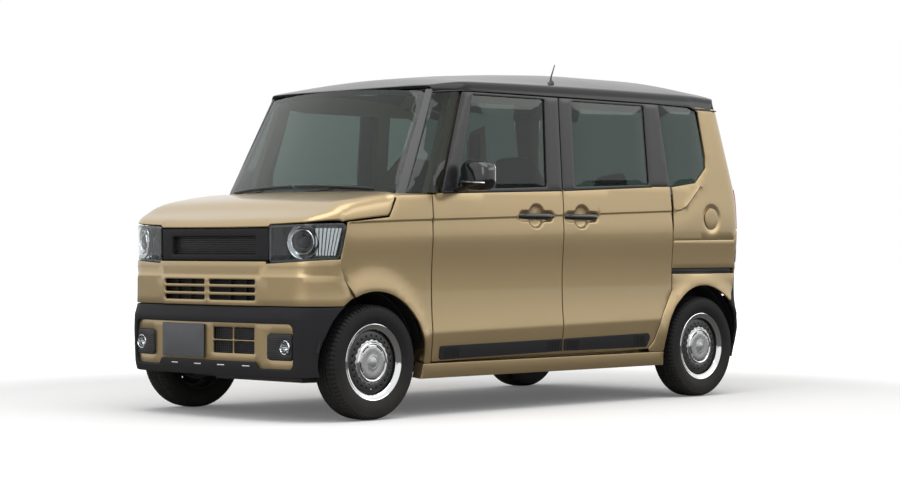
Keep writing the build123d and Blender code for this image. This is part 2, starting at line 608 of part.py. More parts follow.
BONNET_HINGE, BONNET_HINGE_Y = (1100.0, 1085.0), HALF_WIDTH - 177.5
BONNET_LUG, LUG_RADIUS, BONNET_PIN = 8.0, 9.0, 4.0
nose_outer, nose_inner = nose_block(0), nose_block(BONNET_THICK)
with BuildPart() as bonnet_core:
    add(bonnet_block(BONNET_THICK))
    add(nose_inner, mode=Mode.INTERSECT)
with BuildPart() as bonnet:
    add(bonnet_block(0))
    add(nose_outer, mode=Mode.INTERSECT)
    add(bonnet_core.part, mode=Mode.SUBTRACT)
    add(box((1000, 1720), (-LIP_Y, LIP_Y), (690, BONNET_LIP_Z)), mode=Mode.SUBTRACT)
    for out in (-1, 1):
        with BuildSketch(Plane.XZ.offset(-out * LIP_Y)):
            Polygon(*BONNET_SIDE_LOW, align=None)
        extrude(amount=-out * (HALF_WIDTH - LIP_Y), mode=Mode.SUBTRACT)
        with BuildSketch(Plane.XZ.offset(-out * BONNET_HINGE_Y)):
            Polygon((1100, 1076), (1150, 1078), (1150, 1090), (1100, 1094), align=None)
            with Locations(BONNET_HINGE):
                Circle(LUG_RADIUS)
                Circle(BONNET_PIN + PIN_GAP, mode=Mode.SUBTRACT)
        extrude(amount=-out * BONNET_LUG)
save([bonnet.part], "bonnet")

# ---- Nose: painted bumper, dark guard, grille and headlamps --------------------------------
GUARD_LOW_Z, GUARD_TOP_Z, GUARD_THICK = 208.0, 550.0, 50.0
AHEAD_X, CUT_X, CUT_LENGTH = NOSE_X + 22.5, 1500.0, 300.0
BUMPER_EDGE = [
    (1365, GUARD_TOP_Z), *[(x + SEAM, z) for x, z in NOSE_SEAM[::-1]], (AHEAD_X, 790), (AHEAD_X, GUARD_TOP_Z),
]
BUMPER_TOP = [
    (0, 500), (0, 764.5), (400, 764.5), (400, 751.5), (HALF_WIDTH + 7.5, 771.5), (HALF_WIDTH + 7.5, 500),
]
INSET_LOW_Z, INSET_HIGH_Z, INSET_Y = 284.0, 468.0, HALF_WIDTH - 135.5
INSET_DROP_Y, INSET_DROP_Z, INSET_THICK = 365.0, 250.0, 20.0
INSET_EDGE = [
    (0, INSET_LOW_Z), (INSET_DROP_Y - 12, INSET_LOW_Z), (INSET_DROP_Y + 12, INSET_DROP_Z),
    (INSET_Y, INSET_DROP_Z), (INSET_Y, INSET_HIGH_Z), (0, INSET_HIGH_Z),
]
MESH_Y, MESH_Z, MESH_BAR = (48.0, 338.0), (320.0, 446.0), 4.0
BEZEL_BACK, BEZEL_THICK = 24.0, 30.0
BEZEL_Y, BEZEL_Z = (HALF_WIDTH - 308.5, HALF_WIDTH - 150.5), (295.0, 421.0)
FOG_Y, FOG_Z, FOG_RADIUS = HALF_WIDTH - 193.5, 356.0, 32.0
FOG_X, FOG_THICK = NOSE_X - 85.5, 22.0
GRILLE_Y, GRILLE_Z, GRILLE_THICK = 400.0, (765.0, 915.0), 35.0
GRILLE_SLOTS, GRILLE_SLOT = (801.0, 836.0, 871.0), (632.0, 24.0)
PLATE_X, PLATE_Y, PLATE_Z = (1675.0, 1681.0), (-337.0, -7.0), (291.0, 456.0)


def layer(nose_back, corner, thick, side_edge, front_edge):
    """Full-width band of the nose between its outer and inner hulls."""
    outer_hull = hull(0, 0, nose_back, corner)
    inner_hull = hull(thick, thick, nose_back, corner)
    with BuildPart() as band:
        add(outer_hull)
        add(inner_hull, mode=Mode.SUBTRACT)
        add(side_prism(side_edge), mode=Mode.INTERSECT)
        add(front_prism(front_edge, 0), mode=Mode.INTERSECT)
        add(FRONT_ARCH, mode=Mode.SUBTRACT)
        mirror(about=Plane.XZ)
    return band.part


SLOT_ROWS, SLOT_Y, SLOT_HEIGHT = (588.0, 626.0, 664.0), (17.0, 343.0), 24.0
bumper_band = layer(BUMPER_BACK, BUMPER_CORNER, BUMPER_THICK, BUMPER_EDGE, BUMPER_TOP)
with BuildPart() as front_bumper:
    add(bumper_band)
    for slot_z in SLOT_ROWS:
        for side in (-1, 1):
            with BuildSketch(Plane.YZ.offset(CUT_X)):
                with Locations((side * sum(SLOT_Y) / 2, slot_z)):
                    SlotOverall(SLOT_Y[1] - SLOT_Y[0], SLOT_HEIGHT)
            extrude(amount=CUT_LENGTH, mode=Mode.SUBTRACT)
inset_edge = [(CUT_X, 200), (CUT_X, 500), (AHEAD_X, 500), (AHEAD_X, 200)]
inset_band = layer(INSET_BACK, NOSE_CORNER, INSET_THICK, inset_edge, INSET_EDGE)
with BuildPart() as inset_panel:
    add(inset_band)
    add(box((1655, PLATE_X[0]), (PLATE_Y[0] - 3, PLATE_Y[1] + 3), (INSET_LOW_Z, PLATE_Z[1] + 3)))
    mesh_y, mesh_z = sum(MESH_Y) / 2, sum(MESH_Z) / 2
    for y in (MESH_Y[0], mesh_y + MESH_BAR):
        for z in (MESH_Z[0], mesh_z + MESH_BAR):
            pane_y = (y, y + mesh_y - MESH_BAR - MESH_Y[0])
            add(box((1600, NOSE_X), pane_y, (z, z + mesh_z - MESH_BAR - MESH_Z[0])), mode=Mode.SUBTRACT)
    for side in (-1, 1):
        bezel_y = sorted((side * (BEZEL_Y[0] - SEAM), side * (BEZEL_Y[1] + SEAM)))
        add(box((CUT_X, NOSE_X), bezel_y, (BEZEL_Z[0] - SEAM, BEZEL_Z[1] + SEAM)), mode=Mode.SUBTRACT)
save([front_bumper.part, inset_panel.part], "front_bumper")

guard_edge = [(1300, GUARD_LOW_Z), (1300, GUARD_TOP_Z), (AHEAD_X, GUARD_TOP_Z), (AHEAD_X, GUARD_LOW_Z)]
guard_front = [
    (0, GUARD_LOW_Z), (0, GUARD_TOP_Z), (HALF_WIDTH + 7.5, GUARD_TOP_Z), (HALF_WIDTH + 7.5, GUARD_LOW_Z),
]
guard_band = layer(0, NOSE_CORNER, GUARD_THICK, guard_edge, guard_front)
with BuildPart() as bumper_guard:
    add(guard_band)
    with BuildSketch(Plane.YZ.offset(CUT_X)):
        Polygon(*[(-y, z) for y, z in INSET_EDGE[:0:-1]], *INSET_EDGE[1:], align=None)
    extrude(amount=CUT_LENGTH, mode=Mode.SUBTRACT)
bezel_edge = [
    (BEZEL_Y[0], BEZEL_Z[0]), (BEZEL_Y[1], BEZEL_Z[0]), (BEZEL_Y[1], BEZEL_Z[1]), (BEZEL_Y[0], BEZEL_Z[1]),
]
bezel_band = layer(BEZEL_BACK, NOSE_CORNER, BEZEL_THICK, inset_edge, bezel_edge)
fog_lamps = []
with BuildPart() as fog_bezels:
    add(bezel_band)
    for side in (-1, 1):
        with BuildSketch(Plane.YZ.offset(CUT_X)):
            with Locations((side * FOG_Y, FOG_Z)):
                Circle(FOG_RADIUS)
        extrude(amount=CUT_LENGTH, mode=Mode.SUBTRACT)
for side in (-1, 1):
    with BuildPart() as fog_lamp:
        with BuildSketch(Plane.YZ.offset(FOG_X)):
            with Locations((side * FOG_Y, FOG_Z)):
                Circle(FOG_RADIUS - SEAT_GAP)
        extrude(amount=FOG_THICK)
    fog_lamps.append(fog_lamp.part)
save([bumper_guard.part, fog_bezels.part], "bumper_guard")

grille_edge = [(CUT_X, GRILLE_Z[0]), (CUT_X, GRILLE_Z[1]), (AHEAD_X, GRILLE_Z[1]), (AHEAD_X, GRILLE_Z[0])]
grille_front = [(0, GRILLE_Z[0]), (0, GRILLE_Z[1]), (GRILLE_Y, GRILLE_Z[1]), (GRILLE_Y, GRILLE_Z[0])]
with BuildPart() as grille:
    add(layer(GRILLE_BACK, NOSE_CORNER, GRILLE_THICK, grille_edge, grille_front))
    for slot_z in GRILLE_SLOTS:
        with BuildSketch(Plane.YZ.offset(CUT_X)):
            with Locations((0, slot_z)):
                Rectangle(*GRILLE_SLOT)
        extrude(amount=CUT_LENGTH, mode=Mode.SUBTRACT)
save([grille.part], "grille")

lamp_edge = [(1424.5, 951), (1424.5, 944), (1462.5, 775), (1462.5, 700), (AHEAD_X, 700), (AHEAD_X, 951)]
lamp_front = [(400.5, 752), (400.5, 935), (HALF_WIDTH + 0.5, 951), (HALF_WIDTH + 0.5, 772)]
with BuildPart() as headlamp:
    add(hull(0, 0, LAMP_BACK, LAMP_CORNER))
    add(hull(LAMP_THICK, LAMP_THICK, LAMP_BACK, LAMP_CORNER), mode=Mode.SUBTRACT)
    add(side_prism(lamp_edge), mode=Mode.INTERSECT)
    add(front_prism(lamp_front, 0), mode=Mode.INTERSECT)
save([headlamp.part, mirrored(headlamp.part), *fog_lamps], "headlamps")

REAR_PLATE_X, REAR_PLATE_Y, REAR_PLATE_Z = (TAIL_X + 6, TAIL_X + 12), 165.0, (640.0, 805.0)
save([box(PLATE_X, PLATE_Y, PLATE_Z)], "number_plate_front")
save([box(REAR_PLATE_X, (-REAR_PLATE_Y, REAR_PLATE_Y), REAR_PLATE_Z)], "number_plate_rear")

# ---- Tailgate ------------------------------------------------------------------------------
GATE_LOW_Z, GATE_Y = 560.0, HATCH_Y - MOVING_GAP
PLATE_ROOM, GATE_FILLET = 10.0, 40.0
GATE_WINDOW = [(-GATE_Y + 80, 1140), (-GATE_Y + 120, 1590), (GATE_Y - 120, 1590), (GATE_Y - 80, 1140)]
GATE_GLASS_IN = 8.0
GATE_TOP_X = HATCH_X - 12

tail_face = box((TAIL_X, aft_x(-1380)), (-GATE_Y, GATE_Y), (GATE_LOW_Z, CAP_Z))
gate_inner = both_halves(plan_block(TAILGATE_THICK))
with BuildPart() as gate_envelope:
    add(roof_block(0))
    add(box((TAIL_X, 0), (-GATE_Y, GATE_Y), (GATE_LOW_Z, 1645)))
with BuildPart() as gate_slab:
    add(FULL_PLAN)
    add(gate_inner, mode=Mode.SUBTRACT)
    add(tail_face, mode=Mode.INTERSECT)
    add(gate_envelope.part, mode=Mode.INTERSECT)
with BuildPart() as spoiler:
    add(ROOF_SHELL)
    add(FULL_PLAN, mode=Mode.INTERSECT)
    add(box((TAIL_X, GATE_TOP_X), (-GATE_Y, GATE_Y), (1650, CAP_Z)), mode=Mode.INTERSECT)
with BuildPart() as tailgate:
    add(gate_slab.part)
    with BuildSketch(Plane.YZ.offset(TAIL_X)) as face:
        Polygon(*GATE_WINDOW, align=None)
        fillet(face.vertices(), GATE_FILLET)
    extrude(amount=400, mode=Mode.SUBTRACT)
    add(spoiler.part)
    recess_y = REAR_PLATE_Y + PLATE_ROOM
    recess_z = (REAR_PLATE_Z[0] - PLATE_ROOM, REAR_PLATE_Z[1] + PLATE_ROOM)
    add(box((TAIL_X, REAR_PLATE_X[1]), (-recess_y, recess_y), recess_z), mode=Mode.SUBTRACT)
    for y in (-GATE_HINGE_Y, GATE_HINGE_Y):
        slot_y = (y - TONGUE_WIDTH / 2 - MOVING_GAP, y + TONGUE_WIDTH / 2 + MOVING_GAP)
        add(box((GATE_HINGE[0] - 17, GATE_TOP_X), slot_y, (1650, CAP_Z)), mode=Mode.SUBTRACT)
        add(round_bar(*GATE_HINGE, GATE_PIN, slot_y[0] - 3, slot_y[1] + 3))
save([tailgate.part], "tailgate")

gate_lean = radians(TAIL_LEAN)
glass_bulge = GATE_Y**2 / (2 * END_CURVE)
with BuildPart() as gate_glass:
    with BuildSketch(Plane.XY.offset(KINK_Z)):
        with BuildLine():
            outer_x, inner_x = TAIL_X + GATE_GLASS_IN, TAIL_X + GATE_GLASS_IN + GLASS_THICK
            Line((outer_x + glass_bulge, -GATE_Y), (inner_x + glass_bulge, -GATE_Y))
            ThreePointArc((inner_x + glass_bulge, -GATE_Y), (inner_x, 0), (inner_x + glass_bulge, GATE_Y))
            Line((inner_x + glass_bulge, GATE_Y), (outer_x + glass_bulge, GATE_Y))
            ThreePointArc((outer_x + glass_bulge, GATE_Y), (outer_x, 0), (outer_x + glass_bulge, -GATE_Y))
        make_face()
    extrude(amount=600, dir=(sin(gate_lean), 0, cos(gate_lean)))
    with BuildSketch(Plane.YZ.offset(TAIL_X)) as face:
        Polygon(*GATE_WINDOW, align=None)
        fillet(face.vertices(), GATE_FILLET)
        offset(amount=-GLASS_GAP)
    extrude(amount=400, mode=Mode.INTERSECT)
save([gate_glass.part], "tailgate_glass")

# ---- Rear bumper ---------------------------------------------------------------------------
REAR_BUMPER_Z, REAR_BUMPER_THICK = 208.0, 45.0
rear_edge = [
    (TAIL_X, REAR_BUMPER_Z), *[(x - SEAM, z - SEAM) for x, z in TAIL_SEAM],
    (REAR_AXLE_X - 117.5, 250), (REAR_AXLE_X - 17.5, REAR_BUMPER_Z),
]
with BuildPart() as rear_bumper:
    add(OUTER)
    add(hull(REAR_BUMPER_THICK, REAR_BUMPER_THICK), mode=Mode.SUBTRACT)
    add(side_prism(rear_edge), mode=Mode.INTERSECT)
    add(REAR_ARCH, mode=Mode.SUBTRACT)
    add(box((TAIL_X, aft_x(-1400)), (0, LAMP_IN_Y), (553, 700)), mode=Mode.SUBTRACT)
    mirror(about=Plane.XZ)
save([rear_bumper.part], "rear_bumper")

# ---- Fuel lid ------------------------------------------------------------------------------
fuel_lid = round_bar(FUEL_X, FUEL_Z, FUEL_RADIUS, LID_BACK_Y, LID_BACK_Y + LID_THICK)
save([fuel_lid], "fuel_lid")

# ---- Floor, firewall and wheel houses ------------------------------------------------------
FLOOR_Z, FLOOR_THICK = 240.0, 25.0
LOAD_FLOOR_Z = 430.0
FLOOR_REAR_X, FLOOR_Y = aft_x(-970.0), HALF_WIDTH - SILL_DEPTH
LOAD_FLOOR_Y = 524.0
HOUSE_FRONT_X, LOAD_FLOOR_END_X = aft_x(-900.0), TAIL_X + 97.5
FIREWALL_X, FIREWALL_THICK, WELL_X, WELL_Y = 1010.0, 15.0, 880.0, 380.0
FLOOR_HALF = [
    (FLOOR_REAR_X, 520), (HOUSE_FRONT_X, 520), (HOUSE_FRONT_X, FLOOR_Y), (WELL_X, FLOOR_Y),
    (WELL_X, WELL_Y), (FIREWALL_X, WELL_Y),
]
FIREWALL_HALF = [(WELL_Y + 2, 215), (WELL_Y + 2, 640), (600, 640), (600, 1040)]
with BuildPart() as floor_pan:
    with BuildSketch(Plane.XY.offset(FLOOR_Z - FLOOR_THICK)):
        Polygon(*FLOOR_HALF, *[(x, -y) for x, y in FLOOR_HALF[::-1]], align=None)
    extrude(amount=FLOOR_THICK)
with BuildPart() as load_floor:
    with BuildSketch(Plane.XZ.offset(-LOAD_FLOOR_Y)):
        Polygon(
            (FLOOR_REAR_X, 235), (FLOOR_REAR_X, LOAD_FLOOR_Z), (LOAD_FLOOR_END_X, LOAD_FLOOR_Z),
            (LOAD_FLOOR_END_X, LOAD_FLOOR_Z - FLOOR_THICK),
            (FLOOR_REAR_X - FLOOR_THICK, LOAD_FLOOR_Z - FLOOR_THICK),
            (FLOOR_REAR_X - FLOOR_THICK, 235), align=None,
        )
    extrude(amount=2 * LOAD_FLOOR_Y)
save([floor_pan.part, load_floor.part], "floor_pan")

with BuildPart() as firewall:
    with BuildSketch(Plane.YZ.offset(FIREWALL_X)):
        Polygon(*FIREWALL_HALF, *[(-y, z) for y, z in FIREWALL_HALF[::-1]], align=None)
    extrude(amount=FIREWALL_THICK)
    for y in (-BONNET_HINGE_Y, BONNET_HINGE_Y):
        out = 1 if y > 0 else -1
        with BuildSketch(Plane.XZ.offset(-(y - out * (SEAT_GAP + BONNET_LUG)))):
            Polygon((1020, 960), (1020, 1035), (1096, 1093), (1106, 1079), (1060, 1020), align=None)
            with Locations(BONNET_HINGE):
                Circle(LUG_RADIUS)
        extrude(amount=-out * BONNET_LUG)
        with BuildSketch(Plane.XZ.offset(-(y - out * (SEAT_GAP + 1)))):
            with Locations(BONNET_HINGE):
                Circle(BONNET_PIN)
        extrude(amount=-out * (BONNET_LUG + 4))
save([firewall.part], "firewall")

HOUSE_RADIUS, HOUSE_THICK = 340.0, 6.0


def wheel_house(x, y_in, y_out, low_z, reach):
    """Arched liner over a wheel with its inner wall."""
    outer_drum = round_bar(x, ARCH_Z, HOUSE_RADIUS + HOUSE_THICK, y_in - HOUSE_THICK, y_out)
    inner_drum = round_bar(x, ARCH_Z, HOUSE_RADIUS, y_in, y_out + 1)
    with BuildPart() as house:
        add(outer_drum)
        add(inner_drum, mode=Mode.SUBTRACT)
        add(box((x - reach, x + 400), (0, HALF_WIDTH), (low_z, 700)), mode=Mode.INTERSECT)
    return house.part


houses = [wheel_house(FRONT_AXLE_X, 388, 636, 360, 400), wheel_house(REAR_AXLE_X, 530, 655, 345, 300)]
save(houses + [mirrored(h) for h in houses], "wheel_houses")

# ---- Cabin ---------------------------------------------------------------------------------
DASH_Y = 595.0
DASH_PROFILE = [(790, 1000), (800, 1055), (860, 1082), (1010, 1088), (1010, 850), (900, 790), (850, 800)]
STEERING_CENTRE, STEERING_AXIS = (690.0, -330.0, 985.0), (-0.80, 0, 0.60)
STEERING_RIM, STEERING_RIM_THICK = (185.0, 160.0), 22.0
STEERING_HUB, STEERING_SPOKE, STEERING_SPOKE_THICK = 55.0, (60.0, 350.0), 18.0
COLUMN_RADIUS, COLUMN_LENGTH = 28.0, 230.0
with BuildPart() as dashboard:
    with BuildSketch(Plane.XZ.offset(-DASH_Y)):
        Polygon(*DASH_PROFILE, align=None)
    extrude(amount=2 * DASH_Y)
    wheel_plane = Plane(origin=STEERING_CENTRE, z_dir=STEERING_AXIS)
    with BuildSketch(wheel_plane):
        Circle(STEERING_RIM[0])
        Circle(STEERING_RIM[1], mode=Mode.SUBTRACT)
    extrude(amount=STEERING_RIM_THICK)
    with BuildSketch(wheel_plane):
        Rectangle(*STEERING_SPOKE)
        Circle(STEERING_HUB)
    extrude(amount=STEERING_SPOKE_THICK)
    with BuildSketch(wheel_plane.offset(STEERING_SPOKE_THICK / 2)):
        Circle(COLUMN_RADIUS)
    extrude(amount=-COLUMN_LENGTH)
save([dashboard.part], "dashboard")

SEAT_PROFILE = [
    (540, FLOOR_Z), (570, 520), (540, 560), (110, 545), (-60, 1090), (-30, 1150), (-90, 1170), (-160, 1060),
    (0, 440), (40, FLOOR_Z),
]


def seat(x, y, width, profile):
    """Seat cushion and backrest as one padded solid."""
    with BuildPart() as one:
        with BuildSketch(Plane.XZ.offset(-(y - width / 2))):
            Polygon(*[(x + a, b) for a, b in profile], align=None)
        extrude(amount=-width)
        fillet(one.edges().filter_by(Axis.Y), SEAT_FILLET)
    return one.part


FRONT_SEAT_X, FRONT_SEAT_Y, FRONT_SEAT_WIDTH, SEAT_FILLET = -60.0, 320.0, 500.0, 18.0
REAR_SEAT_X, REAR_SEAT_Y, REAR_SEAT_WIDTH = aft_x(-950), 262.0, 515.0
HEADREST, HEADREST_WIDTH = [(-150, 1155), (-60, 1155), (-90, 1320), (-165, 1320)], 250.0
front_seats = []
for y in (-FRONT_SEAT_Y, FRONT_SEAT_Y):
    with BuildPart() as front_seat:
        add(seat(FRONT_SEAT_X, y, FRONT_SEAT_WIDTH, SEAT_PROFILE))
        with BuildSketch(Plane.XZ.offset(-(y - HEADREST_WIDTH / 2))):
            Polygon(*[(x + FRONT_SEAT_X, z) for x, z in HEADREST], align=None)
        extrude(amount=-HEADREST_WIDTH)
    front_seats.append(front_seat.part)
save(front_seats, "front_seats")
REAR_SEAT_PROFILE = [
    (470, FLOOR_Z), (490, 560), (460, 590), (90, 570), (-60, 1080), (-40, 1130), (-90, 1150), (-150, 1060),
    (0, 460), (30, FLOOR_Z),
]
rear_seats = [
    seat(REAR_SEAT_X, y, REAR_SEAT_WIDTH, REAR_SEAT_PROFILE) for y in (-REAR_SEAT_Y, REAR_SEAT_Y)
]
save(rear_seats, "rear_seats")

# ---- Engine, underbody and running gear ----------------------------------------------------
ENGINE_X, ENGINE_Z = 1330.0, 260.0
ENGINE_LENGTH, ENGINE_WIDTH, ENGINE_HEIGHT, ENGINE_CHAMFER = 400.0, 560.0, 520.0, 30.0
with BuildPart() as engine:
    with BuildSketch(Plane.XY.offset(ENGINE_Z)):
        with Locations((ENGINE_X, 0)):
            Rectangle(ENGINE_LENGTH, ENGINE_WIDTH)
    extrude(amount=ENGINE_HEIGHT)
    chamfer(engine.edges().filter_by(Axis.Z), ENGINE_CHAMFER)
save([engine.part], "engine")

KING_Y = 610.0
STUB_RADIUS, BORE_GAP = 14.0, 0.08
PIN_RADIUS = 8.0
ARM_LOW, ARM_HIGH = 168.0, 188.0
STRUT_Y, STRUT_RADIUS = 480.0, 28.0
ARM_EYE, HOUSE_OVERLAP = 25.0, 1.4
MOUNT_X, MOUNT_SIZE = 1235.0, (180.0, 340.0)
ARM_PLAN = [
    (1120, 0), (1120, 330), (1200, 350), (1212, KING_Y - 10), (1263, KING_Y - 10), (1275, 350),
    (1350, 330), (1350, 0),
]
with BuildPart() as front_subframe:
    with BuildSketch(Plane.XY.offset(ARM_LOW)):
        Polygon(*ARM_PLAN, align=None)
        with Locations((FRONT_AXLE_X, KING_Y)):
            Circle(ARM_EYE)
    extrude(amount=ARM_HIGH - ARM_LOW)
    with BuildSketch(Plane.XY.offset(ARM_HIGH)):
        with Locations((MOUNT_X, MOUNT_SIZE[1] / 2)):
            Rectangle(*MOUNT_SIZE)
    extrude(amount=ENGINE_Z - ARM_HIGH)
    with BuildSketch(Plane.XY.offset(ARM_LOW - 1)):
        with Locations((FRONT_AXLE_X, KING_Y)):
            Circle(PIN_RADIUS + PIN_GAP)
    extrude(amount=60, mode=Mode.SUBTRACT)
    with BuildSketch(Plane.XY.offset(ARM_LOW)):
        with Locations((FRONT_AXLE_X, STRUT_Y)):
            Circle(STRUT_RADIUS)
    extrude(amount=ARCH_Z + HOUSE_RADIUS - HOUSE_OVERLAP - ARM_LOW)
    mirror(about=Plane.XZ)
save([front_subframe.part], "front_subframe")

KNUCKLE_SIZE, KNUCKLE_THICK, KNUCKLE_FILLET, KNUCKLE_IN = (90.0, 150.0), 30.0, 20.0, 45.0
STUB_LENGTH, FOOT_THICK = 90.0, 22.0
FOOT_PLAN = [
    (FRONT_AXLE_X - 25, KING_Y - KNUCKLE_IN), (FRONT_AXLE_X + 25, KING_Y - KNUCKLE_IN),
    (FRONT_AXLE_X + 20, KING_Y + 15), (FRONT_AXLE_X - 20, KING_Y + 15),
]
with BuildPart() as knuckle_left:
    with BuildSketch(Plane.XZ.offset(-(KING_Y - KNUCKLE_IN))):
        with Locations((FRONT_AXLE_X, TYRE_RADIUS)):
            RectangleRounded(*KNUCKLE_SIZE, KNUCKLE_FILLET)
    extrude(amount=-KNUCKLE_THICK)
    with BuildSketch(Plane.XZ.offset(-(KING_Y - KNUCKLE_IN + KNUCKLE_THICK - 1))):
        with Locations((FRONT_AXLE_X, TYRE_RADIUS)):
            Circle(STUB_RADIUS)
    extrude(amount=-STUB_LENGTH)
    with BuildSketch(Plane.XY.offset(ARM_HIGH + MOVING_GAP)):
        Polygon(*FOOT_PLAN, align=None)
    extrude(amount=FOOT_THICK)
    with BuildSketch(Plane.XY.offset(ARM_LOW + 2)):
        with Locations((FRONT_AXLE_X, KING_Y)):
            Circle(PIN_RADIUS)
    extrude(amount=40)
save([knuckle_left.part], "knuckle_left")
save([mirrored(knuckle_left.part)], "knuckle_right")

BEAM_RADIUS, BEAM_Y = 32.0, 500.0
DRUM_RADIUS, DRUM_LENGTH, REAR_STUB_LENGTH = 60.0, 92.0, 92.0
TRAIL_Y, TRAIL_WIDTH = 420.0, 50.0
TRAIL_EDGE = [
    (REAR_AXLE_X - 20, 250), (REAR_AXLE_X + 20, 300), (FLOOR_REAR_X - 15, 222), (FLOOR_REAR_X - 5, 215),
    (FLOOR_REAR_X + 45, 215), (FLOOR_REAR_X + 45, 175),
]
with BuildPart() as rear_axle:
    with BuildSketch(Plane.XZ.offset(BEAM_Y)):
        with Locations((REAR_AXLE_X, TYRE_RADIUS)):
            Circle(BEAM_RADIUS)
    extrude(amount=-2 * BEAM_Y)
    for side in (-1, 1):
        with BuildSketch(Plane.XZ.offset(-side * BEAM_Y)):
            with Locations((REAR_AXLE_X, TYRE_RADIUS)):
                Circle(DRUM_RADIUS)
        extrude(amount=-side * DRUM_LENGTH)
        with BuildSketch(Plane.XZ.offset(-side * (BEAM_Y + DRUM_LENGTH))):
            with Locations((REAR_AXLE_X, TYRE_RADIUS)):
                Circle(STUB_RADIUS)
        extrude(amount=-side * REAR_STUB_LENGTH)
    for y in (-TRAIL_Y, TRAIL_Y):
        with BuildSketch(Plane.XZ.offset(-y - TRAIL_WIDTH / 2)):
            Polygon(*TRAIL_EDGE, align=None)
        extrude(amount=TRAIL_WIDTH)
save([rear_axle.part], "rear_axle")

TANK_PLACE, TANK_SIZE = (aft_x(-600), 150.0), (480.0, 600.0)
SILENCER_PLACE, SILENCER_SIZE = (aft_x(-790), -250.0), (300.0, 160.0)
PIPE_X, PIPE_Z, PIPE_RADIUS = (aft_x(-950), 950.0), 192.0, 18.0
TANK_DEPTH, TANK_FILLET = 50.0, 40.0
with BuildPart() as fuel_tank:
    with BuildSketch(Plane.XY.offset(FLOOR_Z - FLOOR_THICK)):
        with Locations(TANK_PLACE):
            RectangleRounded(*TANK_SIZE, TANK_FILLET)
    extrude(amount=-TANK_DEPTH)
save([fuel_tank.part], "fuel_tank")
with BuildPart() as exhaust:
    with BuildSketch(Plane.YZ.offset(PIPE_X[0])):
        with Locations((SILENCER_PLACE[1], PIPE_Z)):
            Circle(PIPE_RADIUS)
    extrude(amount=PIPE_X[1] - PIPE_X[0])
    with BuildSketch(Plane.XY.offset(FLOOR_Z - FLOOR_THICK)):
        with Locations(SILENCER_PLACE):
            RectangleRounded(*SILENCER_SIZE, TANK_FILLET)
    extrude(amount=-TANK_DEPTH)
save([exhaust.part], "exhaust")

# ---- Wheels --------------------------------------------------------------------------------
RIM_WIDTH, DISC_Y = 128.0, 40.0
HUB_RADIUS, HUB_BACK_Y, CAP_RADIUS = 62.0, -36.0, 95.0


def rim():
    """Steel wheel with a cover disc, its axis along Y and its middle at the origin."""
    half = RIM_WIDTH / 2
    with BuildPart() as wheel:
        with BuildSketch(Plane.XY):
            Polygon(
                (RIM_RADIUS, half), (BEAD_RADIUS, half - 10), (BEAD_RADIUS, 10 - half), (RIM_RADIUS, -half),
                (BEAD_RADIUS - 8, -half), (BEAD_RADIUS - 12, half - 34), (HUB_RADIUS, DISC_Y - 12),
                (HUB_RADIUS, HUB_BACK_Y), (STUB_RADIUS + BORE_GAP, HUB_BACK_Y),
                (STUB_RADIUS + BORE_GAP, DISC_Y + 10), (CAP_RADIUS, DISC_Y + 10), (CAP_RADIUS + 5, DISC_Y),
                (BEAD_RADIUS - 16, half - 16), (BEAD_RADIUS - 8, half), align=None,
            )
        revolve(axis=Axis.Y)
    return wheel.part


def tyre():
    """Road tyre as a ring that fits the rim."""
    half = TYRE_WIDTH / 2
    with BuildPart() as ring:
        with BuildSketch(Plane.XY):
            Polygon(
                (BEAD_RADIUS, half - 32), (225, half), (262, half - 6), (TYRE_RADIUS, half - 34),
                (TYRE_RADIUS, 34 - half), (262, 6 - half), (225, -half), (BEAD_RADIUS, 32 - half), align=None,
            )
        revolve(axis=Axis.Y)
    return ring.part


WHEELS = [  # name, x, side
    ("front_left", FRONT_AXLE_X, 1), ("front_right", FRONT_AXLE_X, -1),
    ("rear_left", REAR_AXLE_X, 1), ("rear_right", REAR_AXLE_X, -1),
]
for name, x, side in WHEELS:
    place = Location((x, side * WHEEL_Y, TYRE_RADIUS))
    turned_rim = rim() if side > 0 else mirrored(rim())
    save([turned_rim.moved(place)], "rim_" + name)
    save([tyre().moved(place)], "tyre_" + name)

# ---- Aerial --------------------------------------------------------------------------------
AERIAL_FOOT, AERIAL_AXIS = (-155.0, 600.0, 1690.0), (-0.32, 0, 0.95)
AERIAL_RADIUS, AERIAL_LENGTH = 4.0, 118.0
AERIAL_BASE_RADIUS, AERIAL_BASE_HEIGHT, AERIAL_BASE_TAPER = 16.0, 16.0, 25.0
with BuildPart() as aerial:
    with BuildSketch(Plane(origin=AERIAL_FOOT, z_dir=AERIAL_AXIS)):
        Circle(AERIAL_RADIUS)
    extrude(amount=AERIAL_LENGTH)
    with BuildSketch(Plane.XY.offset(AERIAL_FOOT[2])):
        with Locations((AERIAL_FOOT[0] - 2, AERIAL_FOOT[1])):
            Circle(AERIAL_BASE_RADIUS)
    extrude(amount=AERIAL_BASE_HEIGHT, taper=AERIAL_BASE_TAPER)
    add(roof_block(0), mode=Mode.SUBTRACT)
save([aerial.part], "aerial")
